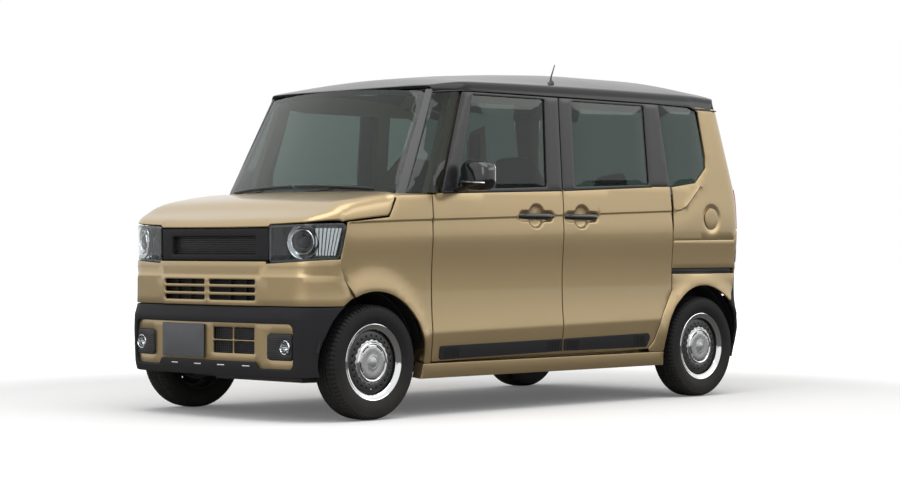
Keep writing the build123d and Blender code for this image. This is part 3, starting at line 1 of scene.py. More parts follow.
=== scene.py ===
"""Looks of a kei car: smooth panels, glass, lamps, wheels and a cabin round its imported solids.

Millimetres are used for the car's own lines, as in its solids, and put() turns them into metres.
+X points forward, +Y to the car's left and +Z up, with the origin on the ground.
"""
import sys
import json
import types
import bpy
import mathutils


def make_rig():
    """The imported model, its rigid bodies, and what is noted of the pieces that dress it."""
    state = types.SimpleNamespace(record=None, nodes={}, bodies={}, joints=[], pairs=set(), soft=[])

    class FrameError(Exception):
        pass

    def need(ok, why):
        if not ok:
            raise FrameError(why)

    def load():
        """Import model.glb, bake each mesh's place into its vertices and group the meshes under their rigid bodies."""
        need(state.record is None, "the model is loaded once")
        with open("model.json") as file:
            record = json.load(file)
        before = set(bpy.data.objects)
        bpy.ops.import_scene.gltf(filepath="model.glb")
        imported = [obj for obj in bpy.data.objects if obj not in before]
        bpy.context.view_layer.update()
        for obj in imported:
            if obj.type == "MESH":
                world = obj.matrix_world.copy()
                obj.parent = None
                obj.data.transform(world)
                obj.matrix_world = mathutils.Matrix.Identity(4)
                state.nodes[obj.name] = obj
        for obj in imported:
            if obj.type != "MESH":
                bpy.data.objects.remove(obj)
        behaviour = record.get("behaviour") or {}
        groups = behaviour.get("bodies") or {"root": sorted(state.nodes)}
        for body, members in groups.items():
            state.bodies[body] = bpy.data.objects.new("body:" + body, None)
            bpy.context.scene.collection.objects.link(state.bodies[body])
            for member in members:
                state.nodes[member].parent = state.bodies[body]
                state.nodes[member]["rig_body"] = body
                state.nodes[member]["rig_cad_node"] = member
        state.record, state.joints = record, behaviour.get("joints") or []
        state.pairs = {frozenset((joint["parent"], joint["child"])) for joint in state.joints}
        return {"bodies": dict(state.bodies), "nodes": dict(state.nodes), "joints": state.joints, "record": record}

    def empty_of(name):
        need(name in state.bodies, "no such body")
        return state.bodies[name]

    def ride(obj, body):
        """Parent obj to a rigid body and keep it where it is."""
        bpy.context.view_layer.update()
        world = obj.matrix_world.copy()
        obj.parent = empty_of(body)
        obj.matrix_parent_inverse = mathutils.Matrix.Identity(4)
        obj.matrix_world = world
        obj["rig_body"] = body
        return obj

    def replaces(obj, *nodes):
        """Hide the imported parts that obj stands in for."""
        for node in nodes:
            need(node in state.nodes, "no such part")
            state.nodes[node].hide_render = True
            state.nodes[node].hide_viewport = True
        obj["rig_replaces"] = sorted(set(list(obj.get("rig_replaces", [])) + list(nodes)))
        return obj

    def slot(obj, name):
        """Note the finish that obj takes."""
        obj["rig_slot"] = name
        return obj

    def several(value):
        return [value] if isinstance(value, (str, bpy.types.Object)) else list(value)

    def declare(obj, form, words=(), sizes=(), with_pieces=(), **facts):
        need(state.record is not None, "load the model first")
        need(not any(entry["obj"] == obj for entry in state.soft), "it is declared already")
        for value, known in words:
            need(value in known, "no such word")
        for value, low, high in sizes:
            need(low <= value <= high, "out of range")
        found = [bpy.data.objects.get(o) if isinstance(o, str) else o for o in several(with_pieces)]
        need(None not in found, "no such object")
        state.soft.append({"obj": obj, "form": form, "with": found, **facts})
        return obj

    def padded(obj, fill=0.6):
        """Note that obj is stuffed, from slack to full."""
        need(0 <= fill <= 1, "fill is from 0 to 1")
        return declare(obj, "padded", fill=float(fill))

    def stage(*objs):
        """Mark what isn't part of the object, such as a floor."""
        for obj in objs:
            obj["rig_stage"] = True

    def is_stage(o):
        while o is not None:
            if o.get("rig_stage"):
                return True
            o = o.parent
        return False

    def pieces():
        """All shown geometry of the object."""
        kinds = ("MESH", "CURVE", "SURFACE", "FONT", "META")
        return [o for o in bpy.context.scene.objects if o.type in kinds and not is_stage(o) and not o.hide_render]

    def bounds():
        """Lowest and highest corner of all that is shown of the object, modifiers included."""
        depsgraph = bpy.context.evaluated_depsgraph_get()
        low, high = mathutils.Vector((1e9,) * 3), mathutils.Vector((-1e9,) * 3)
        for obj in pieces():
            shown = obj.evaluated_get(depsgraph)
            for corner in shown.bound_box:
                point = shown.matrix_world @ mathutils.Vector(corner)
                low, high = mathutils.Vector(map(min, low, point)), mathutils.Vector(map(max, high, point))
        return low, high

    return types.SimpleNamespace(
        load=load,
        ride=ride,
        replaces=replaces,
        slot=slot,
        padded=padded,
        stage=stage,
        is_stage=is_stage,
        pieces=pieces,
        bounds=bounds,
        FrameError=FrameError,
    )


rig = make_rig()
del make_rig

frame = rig.load()
CAD_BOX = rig.bounds()

import json
import math

import bpy
import numpy as np
from bpy.props import FloatProperty, FloatVectorProperty, PointerProperty
from mathutils import Vector
from mathutils.geometry import delaunay_2d_cdt

bl_info = {
    "name": "Kei Car",
    "version": (1, 0, 0),
    "blender": (4, 5, 0),
    "location": "3D View > Sidebar > Kei Car",
    "description": "Builds the visible pieces of a small five-door wagon",
    "category": "Object",
}

# ---- The car's lines, in millimetres ---------------------------------------------------------
FORWARD, BACKWARD, OUT, UP = (1, 0, 0), (-1, 0, 0), (0, 1, 0), (0, 0, 1)
LENGTH, HALF_WIDTH = 3395.0, 737.5
NOSE_X = LENGTH / 2
FRONT_AXLE_X, REAR_AXLE_X = 1237.5, -1282.5
WHEEL_Y, WHEEL_Z = 652.5, 278.5
ARCH_Z, ARCH_RADIUS = 284.0, 335.0
END_CURVE, NOSE_CORNER, TAIL_CORNER = 4000.0, 190.0, 105.0
KINK_Z, TAIL_LEAN = 1120.0, math.radians(17.5)
SCREEN_X, SCREEN_Z, SCREEN_RAKE, SCREEN_CURVE = 1100.0, 1108.0, math.radians(28.5), 2150.0
BELT_Z, CREASE_Z, CREASE_RISE = 1095.0, 420.0, 0.0169
SECTION = [
    (712.0, 186.0), (735.5, 420.0), (724.0, 620.0), (736.0, 860.0), (737.5, 980.0), (729.5, 1098.0), (697.0, 1618.0),
]
BELT_LINE = [
    (1500, 948), (1076, 964), (233, 989), (-403, 1012), (-1001, 1032), (-1090, 1040), (-1135, 1062), (-1243, 1153),
    (-1300, 1205),
]
BELT_STEP, FLARE = 4.0, 13.0
ROOF_SECTIONS = [
    (875, 1619, 1608), (760, 1652, 1641), (578, 1703, 1664), (210, 1740, 1668), (-174, 1768, 1670),
    (-600, 1788, 1671), (-1250, 1788, 1670), (-1560, 1746, 1655),
]
RAIL_Y, ROOF_FLANK_Y = 684.0, 662.0
HANDLE_Z, HANDLE_XS = 990.0, (98.0, -256.0)
CUP_RADIUS, CUP_REACH, CUP_HALF, CUP_DEPTH, CUP_SLOPE = 68.0, 106.0, 33.0, 13.0, 20.0


# ---- Plane outlines ----------------------------------------------------------------------------
def resampled(points, step, closed=True):
    """Outline with extra points on its straight runs, none further apart than step."""
    p = np.asarray(points, float)
    q = np.roll(p, -1, 0)
    if not closed:
        last, p, q = p[-1:], p[:-1], q[:-1]
    n = np.maximum(1, np.ceil(np.linalg.norm(q - p, axis=1) / step)).astype(int)
    i = np.repeat(np.arange(len(p)), n)
    t = (np.arange(n.sum()) - np.repeat(np.cumsum(n) - n, n)) / n[i]
    made = p[i] + t[:, None] * (q[i] - p[i])
    return made if closed else np.vstack([made, last])


def rounded(points, radius, steps=6):
    """Polygon whose corners are arcs: each corner turns about the point radius / sin(half angle) in."""
    p = np.asarray(points, float)
    a, b = np.roll(p, 1, 0) - p, np.roll(p, -1, 0) - p
    la, lb = np.linalg.norm(a, axis=1), np.linalg.norm(b, axis=1)
    ua, ub = a / la[:, None], b / lb[:, None]
    half = 0.5 * np.arccos(np.clip((ua * ub).sum(1), -0.9999, 0.9999))
    r = np.minimum(np.broadcast_to(np.asarray(radius, float), half.shape), 0.48 * np.minimum(la, lb) * np.tan(half))
    run = (r / np.tan(half))[:, None]
    way = ua + ub
    centre = p + way / np.linalg.norm(way, axis=1)[:, None] * (r / np.sin(half))[:, None]
    va, vb = p + ua * run - centre, p + ub * run - centre
    w = (np.pi - 2 * half)[:, None]
    t = np.linspace(0, 1, steps + 1)[None, :]
    ka, kb = np.sin((1 - t) * w) / np.sin(w), np.sin(t * w) / np.sin(w)
    arc = centre[:, None] + ka[..., None] * va[:, None] + kb[..., None] * vb[:, None]
    return arc.reshape(-1, 2)


def oblong(u0, u1, v0, v1, radius, steps=6):
    """Rectangle between two widths and two heights, its corners rounded."""
    return rounded([(u0, v0), (u1, v0), (u1, v1), (u0, v1)], radius, steps)


def ring(cx, cz, radius, steps=72, start=0.0, end=360.0):
    """Points on a circle or arc."""
    t = np.radians(np.linspace(start, end, steps, endpoint=abs(end - start) < 360))
    return np.column_stack([cx + radius * np.cos(t), cz + radius * np.sin(t)])


def level(low, high, count, z):
    """Points along a line at one height."""
    return np.column_stack([np.linspace(low, high, count), np.full(count, z)])


def anticlockwise(p):
    """The outline, turned so that it runs anticlockwise."""
    x, z = p[:, 0], p[:, 1]
    return p if (x * np.roll(z, -1) - np.roll(x, -1) * z).sum() > 0 else p[::-1]


def inside(points, polygon):
    """Even-odd test of many points against one polygon."""
    x, z = points[:, 0][:, None], points[:, 1][:, None]
    ax, az = polygon[:, 0][None], polygon[:, 1][None]
    bx, bz = np.roll(polygon, -1, 0).T[:, None]
    crosses = (az > z) != (bz > z)
    at = ax + (z - az) / np.where(bz == az, 1e-12, bz - az) * (bx - ax)
    return (crosses & (x < at)).sum(1) % 2 == 1


def distance(points, line, closed=True):
    """Shortest way from each point to a line of points."""
    a = line if closed else line[:-1]
    b = np.roll(line, -1, 0) if closed else line[1:]
    out = np.full(len(points), 1e9)
    for k in range(0, len(points), 2000):
        p = points[k:k + 2000, None]
        ab = (b - a)[None]
        t = np.clip(((p - a[None]) * ab).sum(2) / np.maximum((ab**2).sum(2), 1e-12), 0, 1)
        out[k:k + 2000] = np.linalg.norm(p - a[None] - t[..., None] * ab, axis=2).min(1)
    return out


def inset(p, d):
    """Outline moved towards its own inside along the mean of its neighbours' normals."""
    e = np.roll(p, -1, 0) - p
    n = np.column_stack([-e[:, 1], e[:, 0]]) / np.maximum(np.linalg.norm(e, axis=1), 1e-9)[:, None]
    m = n + np.roll(n, 1, 0)
    m /= np.maximum((m * n).sum(1), 0.35)[:, None]
    return p + d * m


# ---- Solids from a surface of two parameters -----------------------------------------------------
def facing(n, outward):
    """1 if normals point outward on the whole, else -1."""
    return 1.0 if (n @ np.asarray(outward, float)).mean() > 0 else -1.0


def normals(surface, uv, outward):
    """Unit normals of a surface from its differences along both parameters, turned outward."""
    h = 0.5
    n = np.cross(surface(uv + [h, 0]) - surface(uv - [h, 0]), surface(uv + [0, h]) - surface(uv - [0, h]))
    n /= np.maximum(np.linalg.norm(n, axis=1), 1e-9)[:, None]
    side = facing(n, outward)
    return n * side, side


def panel(surface, outline, thick, outward, holes=(), lines=(), step=40.0, edge=4.0, roll=2.5):
    """Closed panel cut from a surface of two parameters (u, v).

    The front is the surface over a square grid of (u, v) trimmed to the outline and its holes, the
    edge rolls over by a quarter circle of radius roll, and the back is the front moved in along the
    normal by thick. Lines are runs of (u, v) that the mesh follows, such as a crease.
    """
    loops = [anticlockwise(resampled(outline, edge * 4))]
    loops += [anticlockwise(resampled(h, edge * 2))[::-1] for h in holes]
    inner = [inset(p, roll) for p in loops]

    def within(points):
        return np.all([inside(points, inner[0])] + [~inside(points, p) for p in inner[1:]], axis=0)

    def clear(points, borders, gap, closed=True):
        return np.all([distance(points, p, closed) > gap for p in borders], axis=0)

    runs = []
    for line in lines:
        points = resampled(line, step * 0.5, closed=False)
        ok = within(points) & clear(points, inner, edge)
        cut = np.split(np.arange(len(points)), np.flatnonzero(np.diff(ok.astype(int))) + 1)
        runs += [points[c] for c in cut if ok[c[0]] and len(c) > 1]
    low, high = loops[0].min(0), loops[0].max(0)
    size = np.maximum(((high - low) / step).astype(int), 1)
    grid = np.meshgrid(*[np.linspace(low[k], high[k], size[k] + 1) for k in (0, 1)])
    grid = np.column_stack([g.ravel() for g in grid])
    ok = within(grid) & clear(grid, inner, step * 0.42) & clear(grid, runs, step * 0.3, closed=False)
    parts = inner + runs + [grid[ok]]
    uv = np.vstack(parts)
    edges, at = [], 0
    for k, p in enumerate(parts[:-1]):
        i = np.arange(len(p)) + at
        edges.append(np.column_stack([i, np.roll(i, -1)])[:len(p) if k < len(inner) else -1])
        at += len(p)
    made = delaunay_2d_cdt([Vector(p) for p in uv], np.vstack(edges).tolist(), [], 0, 1e-4)
    if len(made[0]) != len(uv):
        raise RuntimeError("an outline crosses itself: %d points became %d" % (len(uv), len(made[0])))
    tri = np.array(made[2], int)
    tri = tri[within(uv[tri].mean(1))]
    a, b, c = uv[tri[:, 0]], uv[tri[:, 1]], uv[tri[:, 2]]
    turn = (b - a)[:, 0] * (c - a)[:, 1] - (b - a)[:, 1] * (c - a)[:, 0]
    tri, turn = tri[np.abs(turn) > 1e-6], turn[np.abs(turn) > 1e-6]
    tri[turn < 0] = tri[turn < 0][:, ::-1]
    _, side = normals(surface, uv, outward)
    count = len(uv)
    at_uv, depth, quads = [uv, uv], [np.zeros(count), np.full(count, thick)], []
    start, base = 0, 2 * count
    strip = lambda p, q: np.column_stack([p, q, np.roll(q, -1), np.roll(p, -1)])
    for outer, rolled in zip(loops, inner):
        n = len(outer)
        i = np.arange(n)
        last = start + i
        hem = [(rolled - outer, roll * (1 - math.sin(w)), 1 - math.cos(w)) for w in np.radians([60.0, 30.0, 0.0])]
        for way, deep, part in hem + [(0, thick, 0)]:
            at_uv.append(outer + way * part)
            depth.append(np.full(n, deep))
            quads.append(strip(last, base + i))
            last = base + i
            base += n
        quads.append(strip(last, count + start + i))
        start += n
    at_uv, depth, quads = np.vstack(at_uv), np.concatenate(depth), np.vstack(quads)
    tris = np.vstack([tri, tri[:, ::-1] + count])
    if side < 0:
        tris, quads = tris[:, ::-1], quads[:, ::-1]
    return surface(at_uv) - normals(surface, at_uv, outward)[0] * depth[:, None], [tris, quads]


def cells(i):
    """Quads between the neighbours in a grid of indices."""
    return np.stack([i[:-1, :-1], i[1:, :-1], i[1:, 1:], i[:-1, 1:]], -1).reshape(-1, 4)


def grid_shell(points, thick, outward):
    """Closed shell over a grid of points: the grid, its copy moved in along the normals, and a rim."""
    m, n = points.shape[:2]
    nor = np.cross(np.gradient(points, axis=0), np.gradient(points, axis=1))
    nor /= np.maximum(np.linalg.norm(nor, axis=2), 1e-9)[..., None]
    side = facing(nor, outward)
    verts = np.vstack([points.reshape(-1, 3), (points - nor * side * thick).reshape(-1, 3)])
    a = np.arange(m * n).reshape(m, n)
    b = a + m * n
    strip = lambda p, q: np.column_stack([p[:-1], p[1:], q[1:], q[:-1]])
    quads = np.vstack([
        cells(a), cells(b)[:, ::-1], strip(b[0], a[0])[:, ::-1], strip(a[-1], b[-1])[:, ::-1],
        strip(b[:, 0], a[:, 0]), strip(a[:, -1], b[:, -1]),
    ])
    return verts, [quads if side > 0 else quads[:, ::-1]]


def turned_out(verts, faces):
    """Closed mesh with its faces outwards: if its volume comes out negative, they are all reversed."""
    volume = 0
    for f in faces:
        for k in range(2, f.shape[1]):
            volume += (np.cross(verts[f[:, 0]], verts[f[:, k - 1]]) * verts[f[:, k]]).sum()
    return verts, [f if volume > 0 else f[:, ::-1] for f in faces]


def closed_grid(points):
    """Skin over a grid that is closed round v, with both ends capped by fans to their middles."""
    m, n = points.shape[:2]
    verts = np.vstack([points.reshape(-1, 3), points[0].mean(0)[None], points[-1].mean(0)[None]])
    i = np.arange(m * n).reshape(m, n)
    first = np.column_stack([np.full(n, m * n), i[0], np.roll(i[0], -1)])
    last = np.column_stack([np.full(n, m * n + 1), np.roll(i[-1], -1), i[-1]])
    return turned_out(verts, [np.vstack([first, last]), cells(np.concatenate([i, i[:, :1]], 1))])


def looped_grid(points, centre):
    """Skin over a grid that is closed both ways round a centre."""
    i = np.arange(points.shape[0] * points.shape[1]).reshape(points.shape[:2])
    i = np.concatenate([i, i[:, :1]], 1)
    verts = points.reshape(-1, 3)
    return verts, turned_out(verts - centre, [cells(np.concatenate([i, i[:1]], 0))])[1]


def tube(path, radius, sides=12, flat=1.0, up=UP):
    """Round or flattened bar: a circle carried square to a path of points."""
    p = np.asarray(path, float)
    t = np.gradient(p, axis=0)
    t /= np.linalg.norm(t, axis=1)[:, None]
    a = np.cross(t, np.asarray(up, float)[None])
    a /= np.maximum(np.linalg.norm(a, axis=1), 1e-9)[:, None]
    b = np.cross(t, a)
    w = np.linspace(0, 2 * np.pi, sides, endpoint=False)
    r = np.broadcast_to(np.asarray(radius, float), (len(p),))[:, None, None]
    loop = np.cos(w)[None, :, None] * a[:, None] + flat * np.sin(w)[None, :, None] * b[:, None]
    return closed_grid(p[:, None] + r * loop)


def turned(profile, centre, steps=96, axis="Y"):
    """Profile of (distance along the axis, radius) turned round it, closed on itself."""
    p, centre = np.asarray(profile, float), np.asarray(centre, float)
    w = np.linspace(0, 2 * np.pi, steps, endpoint=False)
    along = np.broadcast_to(p[:, 0][:, None], (len(p), steps))
    c, s = p[:, 1][:, None] * np.cos(w), p[:, 1][:, None] * np.sin(w)
    return looped_grid(np.stack([c, along, s] if axis == "Y" else [along, c, s], -1) + centre, centre)


def lathe(profile, at, steps):
    """Profile of (distance ahead of a point, radius) turned round the lengthwise line through it."""
    return turned([(at[0] + d, r) for d, r in profile], (0, *at[1:]), steps, axis="X")


def block(low, high, bevel):
    """Rounded box: a sphere's grid pushed out to the box's corners, each a ball of radius bevel."""
    low, high = np.asarray(low, float), np.asarray(high, float)
    bevel = min(bevel, *(0.49 * (high - low)))
    count = 7
    lat = np.concatenate([np.linspace(-90, 0, count), np.linspace(0, 90, count)])
    lon = np.concatenate([np.linspace(q, q + 90, count) for q in (0, 90, 180, 270)])
    sz = np.repeat([-1.0, 1.0], count)
    sx, sy = np.repeat([1.0, -1.0, -1.0, 1.0], count), np.repeat([1.0, 1.0, -1.0, -1.0], count)
    la, lo = np.radians(lat)[:, None], np.radians(lon)[None]
    half = (high - low) / 2 - bevel
    x = np.cos(la) * np.cos(lo) * bevel + sx[None] * half[0]
    y = np.cos(la) * np.sin(lo) * bevel + sy[None] * half[1]
    z = np.sin(la) * bevel + (sz * half[2])[:, None] + 0 * lo
    return closed_grid(np.stack([x, y, z], -1) + (low + high) / 2)


def joined(*meshes):
    """Several meshes as one."""
    verts, faces, at = [], [], 0
    for v, f in meshes:
        verts.append(v)
        faces += [g + at for g in f]
        at += len(v)
    return np.vstack(verts), faces


def mirrored(mesh):
    """The same mesh on the car's other side."""
    v, f = mesh
    return v * [1, -1, 1], [g[:, ::-1] for g in f]


def both(mesh):
    """A mesh and its copy on the other side."""
    return joined(mesh, mirrored(mesh))


def moved(mesh, by):
    """A mesh moved by a vector."""
    return mesh[0] + np.asarray(by, float), mesh[1]


def spun(mesh, degrees, axis, about):
    """A mesh turned about an axis through a point."""
    a = np.asarray(axis, float) / np.linalg.norm(axis)
    w = math.radians(degrees)
    v = mesh[0] - np.asarray(about, float)
    r = v * math.cos(w) + np.cross(a, v) * math.sin(w) + np.outer(v @ a, a) * (1 - math.cos(w))
    return r + np.asarray(about, float), mesh[1]


HANDS = (("left", lambda mesh: mesh), ("right", mirrored))
SLOT_OF = {
    "body_paint": "paint", "roof_paint": "roof_paint", "pillar_film": "gloss_black", "gloss_black": "gloss_black",
    "dark_plastic": "dark_plastic", "fine_plastic": "dark_plastic", "rubber_seal": "dark_plastic",
    "tinted_glass": "glass", "screen_glass": "screen_glass", "red_lens": "lamp_rear", "amber_lens": "lamp_rear",
    "clear_lens": "lamp_front", "reflector": "lamp_front", "chrome": "lamp_front", "plate_face": "plate",
    "white_plate": "plate", "cabin_plastic": "interior", "cabin_trim": "interior", "carpet": "interior",
    "headlining": "interior", "seat_cloth": "seat", "tyre_rubber": "tyre",
}


def put(name, mesh, finish, body="body", replaces=(), slot=None, sharp=40.0):
    """Piece of the car from a mesh in millimetres, riding on a body."""
    verts, faces = mesh
    data = bpy.data.meshes.new(name)
    data.from_pydata((verts * 0.001).tolist(), [], [f for g in faces for f in g.tolist()])
    data.materials.append(bpy.data.materials["Kei " + finish])
    data.shade_smooth()
    data.set_sharp_from_angle(angle=math.radians(sharp))
    data.update()
    piece = bpy.data.objects.new(name, data)
    bpy.context.scene.collection.objects.link(piece)
    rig.ride(piece, body)
    if replaces:
        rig.replaces(piece, *replaces)
    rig.slot(piece, slot or SLOT_OF[finish])
    return piece


# ---- The body's own surfaces ---------------------------------------------------------------------
def arc_between(a, b, c, z):
    """Half width at z on the circle through three (half width, height) points."""
    (ya, za), (yb, zb), (yc, zc) = a, b, c
    m = np.array([[yb - ya, zb - za], [yc - ya, zc - za]]) * 2
    k = np.array([yb**2 - ya**2 + zb**2 - za**2, yc**2 - ya**2 + zc**2 - za**2])
    oy, oz = np.linalg.solve(m, k)
    r = math.hypot(ya - oy, za - oz)
    return oy + math.copysign(1.0, yb - oy) * np.sqrt(np.maximum(r**2 - (z - oz) ** 2, 0))


def softened(v, offsets):
    """Values evened out with a bell curve over the offsets, both ends carried on as they run."""
    k = np.exp(-0.5 * offsets**2)
    n = len(k) // 2
    return np.convolve(np.concatenate([2 * v[0] - v[n:0:-1], v, 2 * v[-1] - v[-2:-n - 2:-1]]), k / k.sum(), "valid")


def section_table():
    """Half width against height: the listed points joined by lines and arcs, then softened."""
    z = np.arange(150.0, 1700.0, 4.0)
    s = SECTION
    y = np.select(
        [z < 420, z < 860, z < 1098],
        [s[0][0] + (z - 186) * (s[1][0] - s[0][0]) / 234, arc_between(*s[1:4], z), arc_between(*s[3:6], z)],
        s[5][0] + (z - 1098) * (s[6][0] - s[5][0]) / 520,
    )
    w = np.clip((z - 520) / 160, 0, 1)
    reach = np.arange(-40, 41) * 4.0
    return z, softened(y, reach / 7) * (1 - w) + softened(y, reach / 34) * w


SECTION_Z, SECTION_Y = section_table()


def section(z):
    """Half width of the body at a height."""
    return np.interp(z, SECTION_Z, SECTION_Y)


def ease(t):
    """Smooth step from 0 to 1."""
    t = np.clip(t, 0, 1)
    return t * t * (3 - 2 * t)


def lean(z):
    """How far the tail comes forward at a height: a straight lean above the kink, eased in."""
    d, soft, slope = z - KINK_Z, 45.0, math.tan(TAIL_LEAN)
    return slope * 0.5 * (d + np.sqrt(d**2 + soft**2)) - slope * 0.5 * (np.sqrt(soft**2 + 900**2) - 900)


def belt_height(x):
    """Height of the step along the side under the windows."""
    line = np.array(BELT_LINE)[::-1]
    return np.interp(x, line[:, 0], line[:, 1])


def side_detail(x, z):
    """Bulge of the side over its plain section: the belt's step and the lips of the wheel arches."""
    below = belt_height(x) - z
    fade = ease((x + 1290) / 40) * ease((1440 - x) / 60)
    step = -BELT_STEP * ease(below / 7) * (1 - ease((below - 7) / 95)) * fade
    flare = 0.0 * x
    for axle, tallest in ((FRONT_AXLE_X, 70.0), (REAR_AXLE_X, 34.0)):
        r = np.hypot(x - axle, z - ARCH_Z)
        angle = np.degrees(np.arctan2(z - ARCH_Z, x - axle))
        reach = 44 + tallest * np.exp(-(((angle - 85) / 36) ** 2))
        lip = FLARE * (1 - ease((r - ARCH_RADIUS - 8) / reach))
        flare += lip * ease((angle + 12) / 25) * ease((186 - angle) / 25)
    return step + np.minimum(flare, HALF_WIDTH + 6 - section(z))


def crease_shift(x, z):
    """Height at which to read the section, so that the lower crease climbs towards the tail."""
    rise = (831 - x) * CREASE_RISE - 10
    return z - rise * np.exp(-0.5 * ((z - CREASE_Z) / 90) ** 2)


def front_turn(x, z):
    """How far the side turns in towards the windscreen, above the belt."""
    t = np.clip((z - BELT_Z) / 515, 0, 1)
    ahead = np.maximum(x - (700 - 160 * t), 0)
    return (0.00066 + 0.00181 * t) * ahead**2 * ease((z - BELT_Z + 5) / 4)


def cup_edge(x, z, handle_x):
    """Distance outside a handle's cup, which is a circle joined to a slot; negative within."""
    circle = np.hypot(x - handle_x, z - HANDLE_Z) - CUP_RADIUS
    slot = np.hypot(np.maximum(np.abs(x - handle_x) - CUP_REACH, 0), z - HANDLE_Z) - CUP_HALF
    return np.minimum(circle, slot)


def cup_line(handle_x, depth):
    """Closed line inside a cup at a distance from its edge."""
    w = np.radians(np.linspace(0, 355, 72))
    r = np.linspace(0, 170, 4000)
    x = handle_x + np.cos(w)[:, None] * r
    z = HANDLE_Z + np.sin(w)[:, None] * r
    last = len(r) - 1 - np.argmax((cup_edge(x, z, handle_x) < -depth)[:, ::-1], axis=1)
    return np.column_stack([handle_x + np.cos(w) * r[last], HANDLE_Z + np.sin(w) * r[last]])


def side(uv):
    """Left side of the body over (x, z): half width from the section, with its step, lips and cups."""
    x, z = uv[:, 0], uv[:, 1]
    cup = sum(CUP_DEPTH * ease(-cup_edge(x, z, h) / CUP_SLOPE) for h in HANDLE_XS)
    return np.column_stack([x, section(crease_shift(x, z)) + side_detail(x, z) - front_turn(x, z) - cup, z])


def side_at(depth):
    """The left side moved in by a depth."""
    return lambda uv: side(uv) - [0, depth, 0]


def plan_numbers(z, back, corner):
    """Centre of the corner's arc, angle of the bow at the corner and lengths of bow and corner."""
    half = section(z)
    bow = END_CURVE
    cx = NOSE_X - back - bow + np.sqrt((bow - corner) ** 2 - (half - corner) ** 2)
    turn = np.arctan2(half - corner, cx - (NOSE_X - back - bow))
    return half, cx, turn, bow * turn, bow * turn + corner * (np.pi / 2 - turn)


def end_point(s, z, back, corner):
    """Point at a distance s along the plan from the middle: a bow, a corner's arc, a straight side."""
    half, cx, turn, s1, s2 = plan_numbers(z, back, corner)
    a = np.abs(s)
    on_bow = a < s1
    angle = turn + (np.minimum(a, s2) - s1) / corner
    bow = NOSE_X - back - END_CURVE * (1 - np.cos(a / END_CURVE))
    x = np.where(on_bow, bow, cx + corner * np.cos(angle) - np.maximum(a - s2, 0))
    y = np.where(on_bow, END_CURVE * np.sin(a / END_CURVE), half - corner + corner * np.sin(angle))
    return x, np.sign(s) * y


def along_end(points, back, corner, by="x", tail=False):
    """Turn side points (x, z), or front points (y, z), into (s, z) on an end of the body."""
    p = np.asarray(points, float)
    z = p[:, 1]
    half, cx, turn, s1, s2 = plan_numbers(z, back, corner)
    if by == "x":
        ahead = lean(z) - p[:, 0] if tail else p[:, 0]
        angle = np.arccos(np.clip((ahead - cx) / corner, 0, 1))
        s = np.where(ahead <= cx, s2 + cx - ahead, s1 + corner * (angle - turn))
    else:
        y = np.abs(p[:, 0])
        on_bow = END_CURVE * np.arcsin(y / END_CURVE)
        on_corner = s1 + corner * (np.arcsin(np.clip((y - half + corner) / corner, -1, 1)) - turn)
        s = np.sign(p[:, 0]) * np.where(on_bow < s1, on_bow, on_corner)
    return np.column_stack([s, z])


def plan_x(y, z, back, corner):
    """How far the plan reaches at a half width y and a height z."""
    half, cx = plan_numbers(z, back, corner)[:2]
    bow = NOSE_X - back - END_CURVE + np.sqrt(END_CURVE**2 - y**2)
    arc = cx + np.sqrt(np.maximum(corner**2 - np.clip(y - half + corner, 0, corner) ** 2, 0))
    return np.where(y < half - corner, bow, np.minimum(bow, arc))


def nose_x(y, z, back, corner):
    """Where the nose's plan lies at a half width y and a height z."""
    return plan_x(np.minimum(np.abs(y), section(z)), z, back, corner)


def tail_x(y, z):
    """Where the tail's plan lies at a half width y and a height z."""
    return -plan_x(np.abs(y), z, 0, TAIL_CORNER) + lean(z)


def nose(back, corner=NOSE_CORNER):
    """Front end of the body over (s, z)."""
    return lambda uv: np.column_stack([*end_point(uv[:, 0], uv[:, 1], back, corner), uv[:, 1]])


def tail(back, corner=TAIL_CORNER):
    """Rear end of the body over (s, z), leaning forward above the kink."""
    def surface(uv):
        x, y = end_point(uv[:, 0], uv[:, 1], back, corner)
        x = -x + lean(uv[:, 1])
        detail = side_detail(x, uv[:, 1]) * ease((np.abs(uv[:, 0]) - 650) / 60)
        return np.column_stack([x, y + np.sign(y) * detail, uv[:, 1]])
    return surface


def bowed(by, depth):
    """Surface of the tail over (y, z), moved forward by depth and outward by a bulge of (y, z)."""
    def surface(uv):
        y, z = uv[:, 0], uv[:, 1]
        bulge = by(y, z) if by else 0
        return np.column_stack([tail_x(y, z) + depth - bulge, y, z])
    return surface


def bowed_screen(depth):
    """Windscreen over (y, z), bowed in plan and leaning back: its foot and head drop at the corners."""
    def surface(uv):
        y = uv[:, 0]
        z = uv[:, 1] - (16 + 14 * (uv[:, 1] - 1108) / 528) * (y / 630) ** 2
        x = SCREEN_X - (z - SCREEN_Z) * math.tan(SCREEN_RAKE) - y**2 / (2 * SCREEN_CURVE)
        return np.column_stack([x, y, z]) - depth * np.array([0.86, 0, 0.5])
    return surface


def roof_height(x, y):
    """Height of the roof: the crown at its middle, falling as the square of y to the rails."""
    rows = np.array(ROOF_SECTIONS, float)[::-1]
    fine = np.linspace(rows[0, 0], rows[-1, 0], 400)
    bell = np.arange(-30, 31) / 10.0
    crown, rail = [np.interp(x, fine, softened(np.interp(fine, rows[:, 0], rows[:, k]), bell)) for k in (1, 2)]
    return crown - (crown - rail) * np.minimum(np.abs(y) / RAIL_Y, 1) ** 2


BONNET_PROFILE = [
    (1000, 1108), (1112, 1100), (1231, 1085), (1374, 1061), (1449, 1040), (1509, 1000), (1560, 981), (1612, 960),
    (1655, 938), (1720, 905),
]


